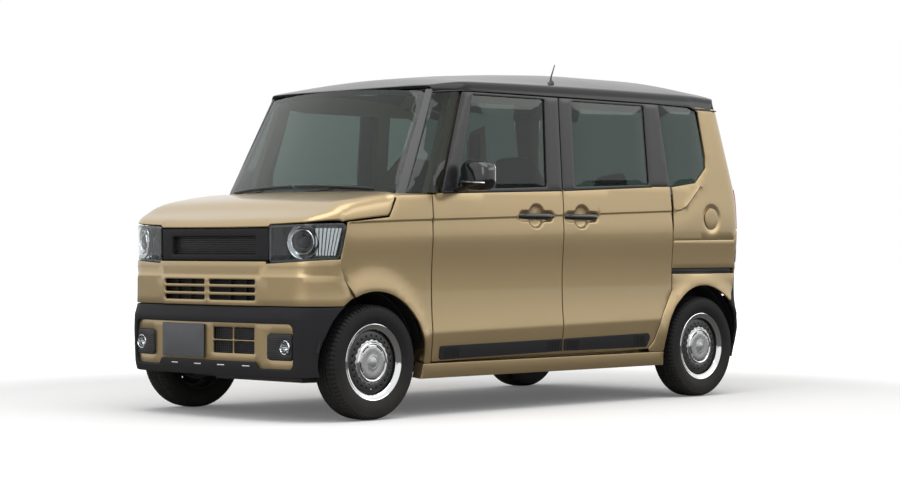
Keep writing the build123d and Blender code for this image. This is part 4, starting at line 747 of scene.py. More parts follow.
def bonnet_top(x, y):
    """Height of the bonnet's top at a point, before its front rolls over."""
    row = BONNET_PROFILE
    fine = np.linspace(row[0][0], row[-1][0], 240)
    z = softened(np.interp(fine, *np.array(row, float).T), np.arange(-24, 25) / 7.0)
    return np.interp(x, fine, z) + 12 * (1 - (y / 727.0) ** 2)


# ---- Finishes ------------------------------------------------------------------------------------
def node_group(name, inputs, outputs):
    """Empty shader group with named inputs (name and default) and outputs (name and kind)."""
    g = bpy.data.node_groups.new(name, "ShaderNodeTree")
    for label, default in inputs.items():
        kind = "NodeSocketFloat" if isinstance(default, float) else "NodeSocketColor"
        g.interface.new_socket(label, in_out="INPUT", socket_type=kind).default_value = default
    for label, kind in outputs.items():
        g.interface.new_socket(label, in_out="OUTPUT", socket_type="NodeSocket" + kind)
    return g, g.nodes.new("NodeGroupInput").outputs, g.nodes.new("NodeGroupOutput").inputs


def feed(tree, target, source):
    """Link a socket from another, or set it to a plain value."""
    if isinstance(source, bpy.types.NodeSocket):
        tree.links.new(source, target)
    else:
        target.default_value = source


def add_node(tree, kind, **values):
    """Node with its settings, and with its inputs linked or set by name; gives its outputs."""
    node = tree.nodes.new("ShaderNode" + kind)
    for key, value in values.items():
        if hasattr(node, key):
            setattr(node, key, value)
        else:
            feed(tree, node.inputs[key.replace("_", " ")], value)
    return node.outputs


def maths(tree, operation, *values):
    """Output of a Math node over sockets and numbers."""
    node = tree.nodes.new("ShaderNodeMath")
    node.operation = operation
    for target, value in zip(node.inputs, values):
        feed(tree, target, value)
    return node.outputs[0]


def make_groups():
    """The shared effects: moulded grain, paint flake, road dust and fabric weave."""
    finish = {"Colour": "Color", "Roughness": "Float", "Height": "Float"}
    inputs = {"Colour": (0.05, 0.05, 0.05, 1), "Scale": 900.0, "Roughness": 0.5, "Variation": 0.15}
    g, i, o = node_group("Moulded Grain", inputs, finish)
    at = add_node(g, "TexCoord")["Object"]
    broad = add_node(g, "TexNoise", Vector=at, Scale=6.0, Detail=4.0)["Fac"]
    tone = maths(g, "MULTIPLY", broad, i["Variation"])
    mix = add_node(g, "MixRGB", blend_type="MULTIPLY", Fac=tone, Color1=i["Colour"], Color2=(0.3, 0.3, 0.3, 1))
    feed(g, o["Colour"], mix[0])
    feed(g, o["Roughness"], maths(g, "MULTIPLY_ADD", broad, 0.16, maths(g, "SUBTRACT", i["Roughness"], 0.08)))
    feed(g, o["Height"], add_node(g, "TexVoronoi", Vector=at, Scale=i["Scale"])["Distance"])

    inputs = {"Colour": (0.5, 0.4, 0.3, 1), "Flake": (0.9, 0.8, 0.7, 1), "Amount": 0.12, "Roughness": 0.35}
    g, i, o = node_group("Paint Flake", inputs, finish)
    at = add_node(g, "TexCoord")["Object"]
    cell = add_node(g, "TexVoronoi", Vector=at, Scale=1400.0)["Color"]
    pick = add_node(g, "ValToRGB", Fac=cell)
    stops = pick["Color"].node.color_ramp.elements
    stops[0].position, stops[1].position = 0.35, 0.85
    amount = maths(g, "MULTIPLY", pick["Color"], i["Amount"])
    feed(g, o["Colour"], add_node(g, "MixRGB", Fac=amount, Color1=i["Colour"], Color2=i["Flake"])[0])
    film = add_node(g, "TexNoise", Vector=at, Scale=3.0, Detail=6.0, Roughness=0.6)["Fac"]
    feed(g, o["Roughness"], maths(g, "MULTIPLY_ADD", film, 0.06, i["Roughness"]))
    feed(g, o["Height"], add_node(g, "TexNoise", Vector=at, Scale=160.0, Detail=1.0)["Fac"])

    inputs = {"Colour": (0.1, 0.1, 0.1, 1), "Dust": (0.35, 0.31, 0.25, 1), "Reach": 0.35, "Amount": 0.25}
    g, i, o = node_group("Road Dust", inputs, {"Colour": "Color", "Mask": "Float"})
    at = add_node(g, "TexCoord")["Object"]
    height = add_node(g, "SeparateXYZ", Vector=at)["Z"]
    fall = dict(interpolation_type="SMOOTHSTEP", From_Max=i["Reach"], To_Min=1.0, To_Max=0.0)
    low = add_node(g, "MapRange", Value=height, **fall)[0]
    cloud = add_node(g, "TexNoise", Vector=at, Scale=9.0, Detail=8.0, Roughness=0.65)["Fac"]
    amount = maths(g, "MULTIPLY", maths(g, "MULTIPLY", low, cloud), i["Amount"])
    feed(g, o["Colour"], add_node(g, "MixRGB", Fac=amount, Color1=i["Colour"], Color2=i["Dust"])[0])
    feed(g, o["Mask"], amount)

    inputs = {"Colour": (0.1, 0.1, 0.1, 1), "Thread": (0.2, 0.2, 0.2, 1), "Scale": 500.0}
    g, i, o = node_group("Fabric Weave", inputs, {"Colour": "Color", "Height": "Float"})
    at = add_node(g, "TexCoord")["Object"]
    over = maths(g, "MAXIMUM", *[
        add_node(g, "TexWave", Vector=at, Scale=i["Scale"], bands_direction=way)["Fac"] for way in ("Y", "Z")
    ])
    feed(g, o["Colour"], add_node(g, "MixRGB", Fac=over, Color1=i["Colour"], Color2=i["Thread"])[0])
    feed(g, o["Height"], over)


def material(name, effect, effect_values, bump=0.0, bump_distance=0.0002, dust=0.0, **values):
    """Principled finish. Its effect group feeds colour, roughness and a bump, and dust tints the colour."""
    m = bpy.data.materials.new("Kei " + name)
    m.use_nodes = True
    tree = m.node_tree
    shader = tree.nodes["Principled BSDF"].inputs
    for key, value in values.items():
        shader[key.replace("_", " ")].default_value = value

    def group(name, inputs):
        node = tree.nodes.new("ShaderNodeGroup")
        node.node_tree = bpy.data.node_groups[name]
        for key, value in inputs.items():
            feed(tree, node.inputs[key], value)
        return node.outputs

    made = group(effect, effect_values)
    colour = made["Colour"]
    if "Roughness" in made and "Roughness" not in values:
        feed(tree, shader["Roughness"], made["Roughness"])
    if bump:
        raised = add_node(tree, "Bump", Height=made["Height"], Strength=bump, Distance=bump_distance)
        feed(tree, shader["Normal"], raised[0])
    if dust:
        colour = group("Road Dust", {"Amount": dust, "Colour": colour})["Colour"]
    feed(tree, shader["Base Color"], colour)


def grain(name, colour, scale, roughness, bump, **values):
    """Moulded or cast finish with a grain."""
    inputs = {"Colour": (*colour, 1), "Scale": scale, "Roughness": roughness}
    material(name, "Moulded Grain", inputs, bump=bump, **values)


def flake(name, colour, flecks, amount, roughness, **values):
    """Smooth finish with flecks in it."""
    inputs = {"Colour": (*colour, 1), "Flake": (*flecks, 1), "Amount": amount, "Roughness": roughness}
    material(name, "Paint Flake", inputs, **values)


def clear(name, tint, flecks, ior=1.45):
    """Clear glass or plastic with a tint."""
    material(
        name, "Paint Flake", {"Colour": (*tint, 1), "Flake": (*flecks, 1), "Amount": 0.0},
        Roughness=0.0, Transmission_Weight=1.0, IOR=ior,
    )


def make_materials(p):
    """All the finishes, from the paint settings."""
    make_groups()
    body, fine, deep = p.body_colour, 0.0003, 0.0006
    flake("body_paint", body, [min(1, 1.35 * c) for c in body], 0.18, 0.30, bump=0.015, dust=0.08, Metallic=0.8,
          Coat_Weight=0.55, Coat_Roughness=0.05)
    flake("roof_paint", p.roof_colour, (0.16, 0.16, 0.17), 0.10, 0.22, bump=0.01, Metallic=0.1, Coat_Weight=0.12,
          Coat_Roughness=0.08, Specular_IOR_Level=0.25)
    flake("pillar_film", (0.016, 0.016, 0.018), (0.08, 0.08, 0.085), 0.05, 0.30, Coat_Weight=0.3, Coat_Roughness=0.12)
    flake("gloss_black", (0.006, 0.006, 0.007), (0.03, 0.03, 0.032), 0.04, 0.08, Coat_Weight=0.5, Coat_Roughness=0.03)
    flake("red_lens", (0.42, 0.012, 0.012), (0.8, 0.05, 0.04), 0.2, 0.10, Coat_Weight=0.6, Coat_Roughness=0.03)
    flake("amber_lens", (0.75, 0.25, 0.02), (0.9, 0.5, 0.1), 0.2, 0.12, Coat_Weight=0.6)
    flake("chrome", (0.80, 0.81, 0.82), (0.9, 0.9, 0.9), 0.03, 0.05, Metallic=1.0)
    flake("reflector", (0.60, 0.61, 0.62), (1, 1, 1), 0.05, 0.10, Metallic=1.0)
    flake("rim_steel", (0.60, 0.61, 0.62), (0.8, 0.8, 0.82), 0.2, 0.22, Metallic=0.9, Coat_Weight=0.3, dust=0.08)
    flake("rim_dark", (0.03, 0.03, 0.032), (0.12, 0.12, 0.12), 0.12, 0.38, Metallic=0.4, Coat_Weight=0.2, dust=0.15)
    clear("tinted_glass", p.glass_colour, p.glass_colour)
    clear("screen_glass", p.screen_colour, p.screen_colour)
    clear("clear_lens", (0.80, 0.83, 0.84), (1, 1, 1), 1.35)
    grain("dark_plastic", p.plastic_colour, 1100.0, 0.52, 0.25, dust=0.05, Specular_IOR_Level=0.10)
    grain("fine_plastic", (0.022, 0.022, 0.024), 1500.0, 0.38, 0.12, bump_distance=0.0001)
    grain("rubber_seal", (0.008, 0.008, 0.008), 700.0, 0.62, 0.1)
    grain("tyre_rubber", (0.012, 0.012, 0.012), 420.0, 0.68, 0.3, bump_distance=fine, dust=0.07,
          Specular_IOR_Level=0.25)
    grain("plate_face", (0.075, 0.078, 0.085), 300.0, 0.42, 0.03)
    grain("white_plate", (0.72, 0.72, 0.70), 300.0, 0.42, 0.03)
    grain("cast_metal", (0.22, 0.22, 0.23), 260.0, 0.48, 0.35, bump_distance=deep, dust=0.35, Metallic=0.75)
    grain("under_steel", (0.045, 0.045, 0.045), 180.0, 0.60, 0.3, bump_distance=0.0008, dust=0.45, Metallic=0.2)
    grain("exhaust_steel", (0.30, 0.27, 0.24), 220.0, 0.42, 0.2, dust=0.3, Metallic=0.85)
    grain("cabin_plastic", (0.045, 0.043, 0.041), 800.0, 0.58, 0.3, bump_distance=fine)
    grain("cabin_trim", (0.16, 0.14, 0.12), 500.0, 0.66, 0.3, bump_distance=fine)
    grain("carpet", (0.03, 0.03, 0.032), 1500.0, 0.9, 0.9, bump_distance=0.001)
    grain("headlining", (0.42, 0.40, 0.37), 1200.0, 0.85, 0.5, bump_distance=deep)
    cloth = {"Colour": (0.055, 0.052, 0.050, 1), "Thread": (0.12, 0.112, 0.10, 1), "Scale": 260.0}
    material("seat_cloth", "Fabric Weave", cloth, bump=0.5, bump_distance=deep, Roughness=0.88, Sheen_Weight=0.35,
             Sheen_Roughness=0.5)


NODE_FINISH = {
    "body_paint": ["side_frames", "front_fenders", "quarter_panels", "side_sills", "front_bumper", "bonnet",
                   "tailgate", "fuel_lid", "front_door_left", "front_door_right", "rear_doors"],
    "roof_paint": ["roof_panel", "a_pillars", "aerial"],
    "dark_plastic": ["bumper_guard", "rear_bumper", "wheel_houses", "fuel_tank"],
    "fine_plastic": ["grille"],
    "gloss_black": ["mirror_left", "mirror_right"],
    "tinted_glass": ["front_door_glass_left", "front_door_glass_right", "rear_door_glass", "fixed_side_glass",
                     "tailgate_glass"],
    "screen_glass": ["windscreen"],
    "clear_lens": ["headlamps"],
    "red_lens": ["tail_lamps"],
    "plate_face": ["number_plate_front"],
    "white_plate": ["number_plate_rear"],
    "cast_metal": ["engine", "knuckle_left", "knuckle_right"],
    "under_steel": ["floor_pan", "firewall", "front_subframe", "rear_axle"],
    "exhaust_steel": ["exhaust"],
    "rim_steel": ["rim_front_left", "rim_front_right", "rim_rear_left", "rim_rear_right"],
    "tyre_rubber": ["tyre_front_left", "tyre_front_right", "tyre_rear_left", "tyre_rear_right"],
    "cabin_plastic": ["dashboard"],
    "seat_cloth": ["front_seats", "rear_seats"],
}


# ---- Settings ------------------------------------------------------------------------------------
class KeiPaint(bpy.types.PropertyGroup):
    """Colours of the car."""
    body_colour: FloatVectorProperty(
        name="Body", description="Colour of the painted panels", default=(0.46, 0.345, 0.185),
        subtype="COLOR", size=3, min=0, max=1)
    roof_colour: FloatVectorProperty(
        name="Roof", description="Colour of the roof and front pillars", default=(0.006, 0.006, 0.007),
        subtype="COLOR", size=3, min=0, max=1)
    plastic_colour: FloatVectorProperty(
        name="Guards", description="Colour of the unpainted guards", default=(0.022, 0.022, 0.024),
        subtype="COLOR", size=3, min=0, max=1)
    glass_colour: FloatVectorProperty(
        name="Side glass", description="Tint of the side and rear glass", default=(0.16, 0.21, 0.195),
        subtype="COLOR", size=3, min=0, max=1)
    screen_colour: FloatVectorProperty(
        name="Windscreen", description="Tint of the windscreen", default=(0.33, 0.40, 0.375),
        subtype="COLOR", size=3, min=0, max=1)


class KeiBody(bpy.types.PropertyGroup):
    """Sizes of the panels."""
    skin: FloatProperty(
        name="Panel thickness", description="Thickness of a painted panel with its hem, in mm",
        default=9.0, min=1, max=30)
    hem: FloatProperty(
        name="Hem radius", description="Radius of the rolled edges, in mm", default=2.5, min=0.5, max=5)
    mesh_step: FloatProperty(
        name="Mesh step", description="Distance between points on a panel, in mm", default=34.0, min=10, max=80)


class KeiStage(bpy.types.PropertyGroup):
    """Light and floor."""
    floor_colour: FloatVectorProperty(
        name="Floor", description="Colour of the floor", default=(0.86, 0.86, 0.86),
        subtype="COLOR", size=3, min=0, max=1)
    key_power: FloatProperty(
        name="Key light", description="Power of the lamp overhead", default=215.0, min=0,
        subtype="POWER", unit="POWER")
    sky: FloatProperty(
        name="Sky", description="Strength of the even light all round", default=0.58, min=0, max=2)


# ---- Operators -----------------------------------------------------------------------------------
CAMERA_PLACE, CAMERA_YAW, CAMERA_PITCH, CAMERA_LENS = (8.820, 8.679, 0.833), -2.365, 0.003, 91.62
FLOOR_REACH = 60.0


def linked(name, data):
    """Object made from its data and linked to the scene."""
    made = bpy.data.objects.new(name, data)
    bpy.context.scene.collection.objects.link(made)
    return made


def facing_way(way):
    """Turn that makes a camera or a lamp look along a direction."""
    return Vector(way).to_track_quat("-Z", "Y").to_euler()


class KEI_OT_stage(bpy.types.Operator):
    """Camera, floor, lamps and even light"""
    bl_idname = "kei.stage"
    bl_label = "Stage"

    def execute(self, context):
        s = context.scene.kei_stage
        scene = context.scene
        cam = bpy.data.cameras.new("camera")
        cam.lens, cam.sensor_width, cam.clip_end = CAMERA_LENS, 36.0, 200.0
        scene.camera = linked("camera", cam)
        flat = math.cos(CAMERA_PITCH)
        way = (math.cos(CAMERA_YAW) * flat, math.sin(CAMERA_YAW) * flat, math.sin(CAMERA_PITCH))
        scene.camera.location, scene.camera.rotation_euler = CAMERA_PLACE, facing_way(way)
        scene.view_settings.view_transform = "Standard"

        m = bpy.data.materials.new("floor")
        m.use_nodes = True
        tree = m.node_tree
        shader = tree.nodes["Principled BSDF"].inputs
        shader["Roughness"].default_value = 0.9
        shader["Specular IOR Level"].default_value = 0.1
        path = add_node(tree, "LightPath")
        away = add_node(tree, "VectorMath", operation="LENGTH", Vector=add_node(tree, "TexCoord")["Object"])["Value"]
        ramp = dict(interpolation_type="SMOOTHSTEP", From_Min=2.6, From_Max=5.5, To_Min=0.10, To_Max=1.0)
        far = add_node(tree, "MapRange", Value=away, **ramp)[0]
        straight = maths(tree, "MAXIMUM", path["Is Camera Ray"], path["Is Transmission Ray"])
        # Painted reflection: glossy rays see the floor in a dark colour (0.10) instead of its own, so the car's lower
        # panels reflect a painted shade of the ground
        tones = dict(Color1=(*s.floor_colour, 1), Color2=(0.10, 0.095, 0.09, 1))
        feed(tree, shader["Base Color"], add_node(tree, "MixRGB", Fac=path["Is Glossy Ray"], **tones)[0])
        shader["Emission Color"].default_value = (1, 1, 1, 1)
        feed(tree, shader["Emission Strength"], maths(tree, "MULTIPLY", straight, far))
        sheet = bpy.data.meshes.new("floor")
        corners = [(x * FLOOR_REACH, y * FLOOR_REACH, 0) for x, y in ((-1, -1), (1, -1), (1, 1), (-1, 1))]
        sheet.from_pydata(corners, [], [(0, 1, 2, 3)])
        sheet.materials.append(m)
        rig.stage(linked("floor", sheet))

        scene.world = bpy.data.worlds.new("world")
        scene.world.use_nodes = True
        w = scene.world.node_tree
        ground = w.nodes["Background"].inputs
        ground["Color"].default_value = (1, 1, 1, 1)
        path = add_node(w, "LightPath")
        seen = maths(w, "MAXIMUM", path["Is Camera Ray"], path["Is Glossy Ray"])
        seen = maths(w, "MAXIMUM", seen, path["Is Transmission Ray"])
        feed(w, ground["Strength"], add_node(w, "MapRange", Value=seen, To_Min=s.sky, To_Max=1.0)[0])
        for name, place, size, share in (
            ("key", (1.5, 1.5, 5.5), (7.0, 5.0), 1.0),
            ("front fill", (7.5, 1.0, 3.0), (3.0, 3.0), 0.28),
            ("side band", (-6.0, 6.5, 4.6), (8.0, 2.2), 0.40),
        ):
            lamp = bpy.data.lights.new(name, "AREA")
            lamp.shape, lamp.size, lamp.size_y, lamp.energy = "RECTANGLE", *size, s.key_power * share
            light = linked(name, lamp)
            light.location, light.rotation_euler = place, facing_way(Vector((0, 0, 0.7)) - Vector(place))
        return {"FINISHED"}


class KEI_OT_finishes(bpy.types.Operator):
    """Materials, and the finish of each solid that stays"""
    bl_idname = "kei.finishes"
    bl_label = "Finishes"

    def execute(self, context):
        make_materials(context.scene.kei_paint)
        for finish, nodes in NODE_FINISH.items():
            for name in nodes:
                data = frame["nodes"][name].data
                data.materials.clear()
                data.materials.append(bpy.data.materials["Kei " + finish])
        return {"FINISHED"}


# ---- Sides ---------------------------------------------------------------------------------------
WINDOW_FILLET = 14.0
FENDER = [
    (856, 262), (856, 1091), (1076, 1084), (1094, 1077), (1150, 976), (1424, 950), (1462, 775), (1459, 725),
    (1434, 676), (1376, 600), (1300, 400), (1000, 262),
]
SILL = [(-955, 186), (-955, 259), (925, 259), (925, 186)]
FRONT_SLAB = [(849, 268), (849, 1091), (781, 1099), (-108.5, 1126), (-108.5, 283)]
REAR_SLAB = [
    (-115.5, 283), (-115.5, 1127), (-850, 1160), (-999, 1162), (-1011, 871), (-1014, 594), (-921, 457), (-858, 321),
    (-813, 279),
]
FRONT_FRAME = [(779, 1101), (600, 1612), (-108.5, 1612), (-108.5, 1128)]
REAR_FRAME = [(-115.5, 1129), (-115.5, 1612), (-930, 1612), (-997, 1165), (-850, 1163)]
FRONT_WINDOW = [(675, 1118), (534, 1598), (-4, 1598), (8, 1143)]
REAR_WINDOW = [(-209, 1148), (-213, 1598), (-806, 1598), (-822, 1171)]
FIXED_PANE = [(979, 1098), (733, 1612), (609, 1612), (790, 1101)]
QUARTER_PANE = [(-1006, 1166), (-940, 1618), (-1246, 1597), (-1318, 1330), (-1315, 1275), (-1225, 1193)]


def crease_lines():
    """Lines of (x, z) that the side panels' meshes follow: the belt's step and the lower crease."""
    x = np.linspace(1500, -1300, 80)
    belt = [np.column_stack([x, belt_height(x) - d]) for d in (-2, 0, 3.5, 7, 11)]
    low = CREASE_Z - 10 + (831 - x) * CREASE_RISE
    return belt, [np.column_stack([x, low + d]) for d in (-14, -6, 2, 12)]


def door_lines(handle_x):
    """A door's lines: the belt's with the stretch through the handle's cup left out, the crease, the cup's."""
    belt, crease = crease_lines()
    parts = [part for line in belt for part in (line[line[:, 0] > handle_x + 146], line[line[:, 0] < handle_x - 146])]
    return [p for p in parts if len(p) > 1] + crease + [cup_line(handle_x, d) for d in (-4, 0.4, 4, 8, 12, 16, 20)]


def arch_cut(points, x):
    """Side outline with the circle of a wheel arch taken out, its points in order."""
    p = resampled(points, 8)
    out = np.hypot(p[:, 0] - x, p[:, 1] - ARCH_Z) > ARCH_RADIUS
    k = np.flatnonzero(out & ~np.roll(out, 1))[0]
    p = np.roll(p, -k, 0)[np.roll(out, -k)]
    a0, a1 = [math.atan2(p[k, 1] - ARCH_Z, p[k, 0] - x) for k in (-1, 0)]
    if abs(a1 - a0) > math.pi:
        a1 += math.copysign(2 * math.pi, a0 - a1)
    w = np.linspace(a0, a1, max(6, int(abs(a1 - a0) * ARCH_RADIUS / 14)))
    return np.vstack([p, np.column_stack([x + ARCH_RADIUS * np.cos(w), ARCH_Z + ARCH_RADIUS * np.sin(w)])[1:-1]])


class KEI_OT_sides(bpy.types.Operator):
    """Front fenders, doors, sills and arch liners"""
    bl_idname = "kei.sides"
    bl_label = "Side panels"

    def execute(self, context):
        b = context.scene.kei_body
        common = dict(outward=OUT, step=b.mesh_step, roll=b.hem)
        lines = sum(crease_lines(), [])
        fender = panel(side, arch_cut(FENDER, FRONT_AXLE_X), b.skin, lines=lines, **common)
        put("fender_skins", both(fender), "body_paint", "body", ["front_fenders"])
        sill = panel(side, arch_cut(arch_cut(SILL, FRONT_AXLE_X), REAR_AXLE_X), 60, **common)
        put("sill_skins", both(sill), "body_paint", "body", ["side_sills"])

        def door(slab, slab_radii, frame_, frame_radii, window, handle_x):
            skin = panel(side, rounded(slab, slab_radii), 30, lines=door_lines(handle_x), **common)
            holes = [rounded(window, WINDOW_FILLET)]
            return skin, panel(side_at(1.5), rounded(frame_, frame_radii), 26, holes=holes, **common)

        skin, surround = door(FRONT_SLAB, [10, 6, 20, 5, 8], FRONT_FRAME, [5, 8, 5, 5], FRONT_WINDOW, HANDLE_XS[0])
        for name, fix in HANDS:
            put("door_skin_" + name, fix(skin), "body_paint", "front_door_" + name, ["front_door_" + name])
            put("door_frame_" + name, fix(surround), "pillar_film", "front_door_" + name)
        radii = [8, 5, 30, 5, 40, 40, 60, 40, 30], [5, 5, 8, 5, 30]
        skin, surround = door(REAR_SLAB, radii[0], REAR_FRAME, radii[1], REAR_WINDOW, HANDLE_XS[1])
        put("rear_door_skins", both(skin), "body_paint", "body", ["rear_doors"])
        put("rear_door_frames", both(surround), "pillar_film")
        liners = []
        for x, low, high in ((FRONT_AXLE_X, 8, 172), (REAR_AXLE_X, 4, 170)):
            w, y = np.radians(np.linspace(low, high, 60))[:, None], np.linspace(500, 700, 6)[None]
            r = ARCH_RADIUS + 9
            grid = np.stack([x + r * np.cos(w) + 0 * y, y + 0 * w, ARCH_Z + r * np.sin(w) + 0 * y], -1)
            liners.append(grid_shell(grid, 4, (0, 0, -1)))
        put("arch_liners", both(joined(*liners)), "rubber_seal")
        return {"FINISHED"}


# ---- Quarter panels, lamps and tail --------------------------------------------------------------
LAMP_LOW, LAMP_HIGH, LAMP_FRONT_X = 745.0, 1234.0, -1596.0
FUEL_X, FUEL_Z, FUEL_RADIUS, DISH_RADIUS = -1357.0, 990.0, 58.0, 86.0
QUARTER_TOP, GATE_EDGE_Y = 1612.0, 626.0
SIDE_TO_TAIL = [
    (-1013, 1160), (-1224, 1187), (-1321, 1270), (-1325, 1330), (-1275, 1584), (-1240, 1604), (-1240, QUARTER_TOP),
]
QUARTER_LOW = [
    (-1609, 680), (-1514, 530), (-1300, 262), (-1100, 262), (-835, 262), (-820, 279), (-865, 321), (-928, 457),
    (-1021, 594), (-1020, 684), (-1588, 684), (-1596, 692), (-1596, 708), (-1588, 716), (-1019, 716), (-1018, 871),
    (-1014, 1000), (-1609, 1000),
]
GATE_LOW_Z, GATE_Y, GATE_SPLIT_Z = 562.0, 619.0, 1126.0
GATE_WINDOW = [(-540, 1142), (-500, 1590), (500, 1590), (540, 1142)]
TAIL_SKIN = tail(0)
RIDGE = np.array([(-1121, 1050), (-1243, 1148), (-1335, 1240), (-1342, 1330), (-1290, 1590)], float)
PILLAR_FOOT = [(984, 674), (1021, 631), (990, 606), (952, 652)]
PILLAR_HEAD = [(727, 609), (749, 574), (722, 562), (700, 592)]


def quarter(uv):
    """Rear corner over (s, z): the tail's surface with the fuel lid's dish and the panel line."""
    p = TAIL_SKIN(uv)
    x, z = p[:, 0], p[:, 2]
    r = np.hypot(x - FUEL_X, z - FUEL_Z)
    dish = 7.0 * (1 - ease((r - FUEL_RADIUS - 4) / (DISH_RADIUS - FUEL_RADIUS - 4)))
    line = 2.6 * np.exp(-(((z - 870 + (x + 1300) * 0.01) / 2.2) ** 2)) * (x < -1010) * ease((x + 1600) / 30)
    flare = 7.0 * ease((640 - z) / 120) * ease((-1020 - x) / 60) * ease((x + 1600) / 60)
    ridge = 3.5 * np.exp(-((distance(np.column_stack([x, z]), RIDGE, closed=False) / 9) ** 2))
    out = (flare + ridge - dish - line)[:, None] * ease((np.abs(uv[:, 0]) - 650) / 60)[:, None]
    return p + out * [0, 1, 0]


def tail_outline(points):
    """Side points (x, z), with points (y, z) on the tail marked by a third number, as (s, z)."""
    by = lambda p: "y" if len(p) > 2 else "x"
    return np.array([along_end([p[:2]], 0, TAIL_CORNER, by(p), tail=True)[0] for p in points])


def roof_skin(uv):
    """Roof over (x, a): the crown up to the rail, then a bend down a flank to the drip edge."""
    x, a = uv[:, 0], uv[:, 1]
    v = np.abs(a)
    t = np.clip((v - ROOF_FLANK_Y) / 76, 0, 1)
    flat = np.minimum(v, ROOF_FLANK_Y)
    z0 = roof_height(x, flat)
    z1 = z0 + (z0 - roof_height(x, flat - 4)) / 4 * 24 - 1
    low = np.interp(x, [-1500, -1450, -1251, -1200, 600, 850], [1594, 1594, 1594, 1614, 1620, 1612])
    y = (1 - t) ** 2 * flat + 2 * t * (1 - t) * 688 + t**2 * 700.5
    z = (1 - t) ** 2 * z0 + 2 * t * (1 - t) * z1 + t**2 * low
    y = np.where(v <= ROOF_FLANK_Y, v, y)
    y -= front_turn(x, np.full(len(x), 1610.0)) * (y / 700) ** 3
    return np.column_stack([x, np.sign(a) * y, np.where(v <= ROOF_FLANK_Y, roof_height(x, v), z)])


def roof_edges():
    """The roof's outline over (x, a): header, shoulders, sides and the tail's rounded corners."""
    front = [(812 - 62 * (k / 650) ** 2, k) for k in np.linspace(-650, 650, 27)]
    a = np.linspace(738, GATE_EDGE_Y, 14)
    x = np.full(len(a), -1500.0)
    for _ in range(8):
        p = roof_skin(np.column_stack([x, a]))
        x = np.maximum(tail_x(p[:, 1], p[:, 2]) + 1.5, -1560)
    left = [(743, 685), (736, 712), (731, 738)] + list(zip(x, a)) + [(-1414, GATE_EDGE_Y)]
    return np.array(front + left + [(x, -a) for x, a in left[::-1]])


def rear_crest(z):
    """Rear bumper's section: a rounded lower edge and an upper face that leans in."""
    return -14 * ease((z - 500) / 60) - 0.10 * np.maximum(290 - z, 0)


def rear_bumper(uv):
    """Rear bumper over (s, z): the tail's plan with its crest, narrower towards the bottom."""
    p = TAIL_SKIN(uv)
    p[:, 0] -= rear_crest(uv[:, 1]) * ease((760 - np.abs(uv[:, 0])) / 120)
    p[:, 1] -= np.sign(p[:, 1]) * 0.10 * np.maximum(290 - uv[:, 1], 0)
    return p


def rear_bumper_outline():
    """The rear bumper's outline over (s, z): over the arches, along the corners and under the tailgate."""
    points = [(-1609, 676), (-1514, 526), (-1380, 420), (-1380, 209), (-1620, 209)]
    arch = arch_cut(np.array(points, float), REAR_AXLE_X)
    arch = np.roll(arch, -int(np.argmin(np.hypot(arch[:, 0] + 1609, arch[:, 1] - 676))), 0)
    arch = [p for p in arch if not (p[0] < -1608.95 and 215 < p[1] < 675.9)]
    left = tail_outline([(600, 552, 1), (GATE_EDGE_Y, 562, 1), (GATE_EDGE_Y, 676, 1)] + arch)
    return np.vstack([left, left[::-1] * [-1, 1]])


def gate_crease(y, z):
    """Tailgate's bulge: a step across under the window and a shallow scoop round the plate."""
    step = 5 * ease((z - 868) / 10) * ease((GATE_Y + 20 - np.abs(y)) / 60)
    return step * ease((1100 - z) / 60) - 4 * ease((610 - z) / 50)


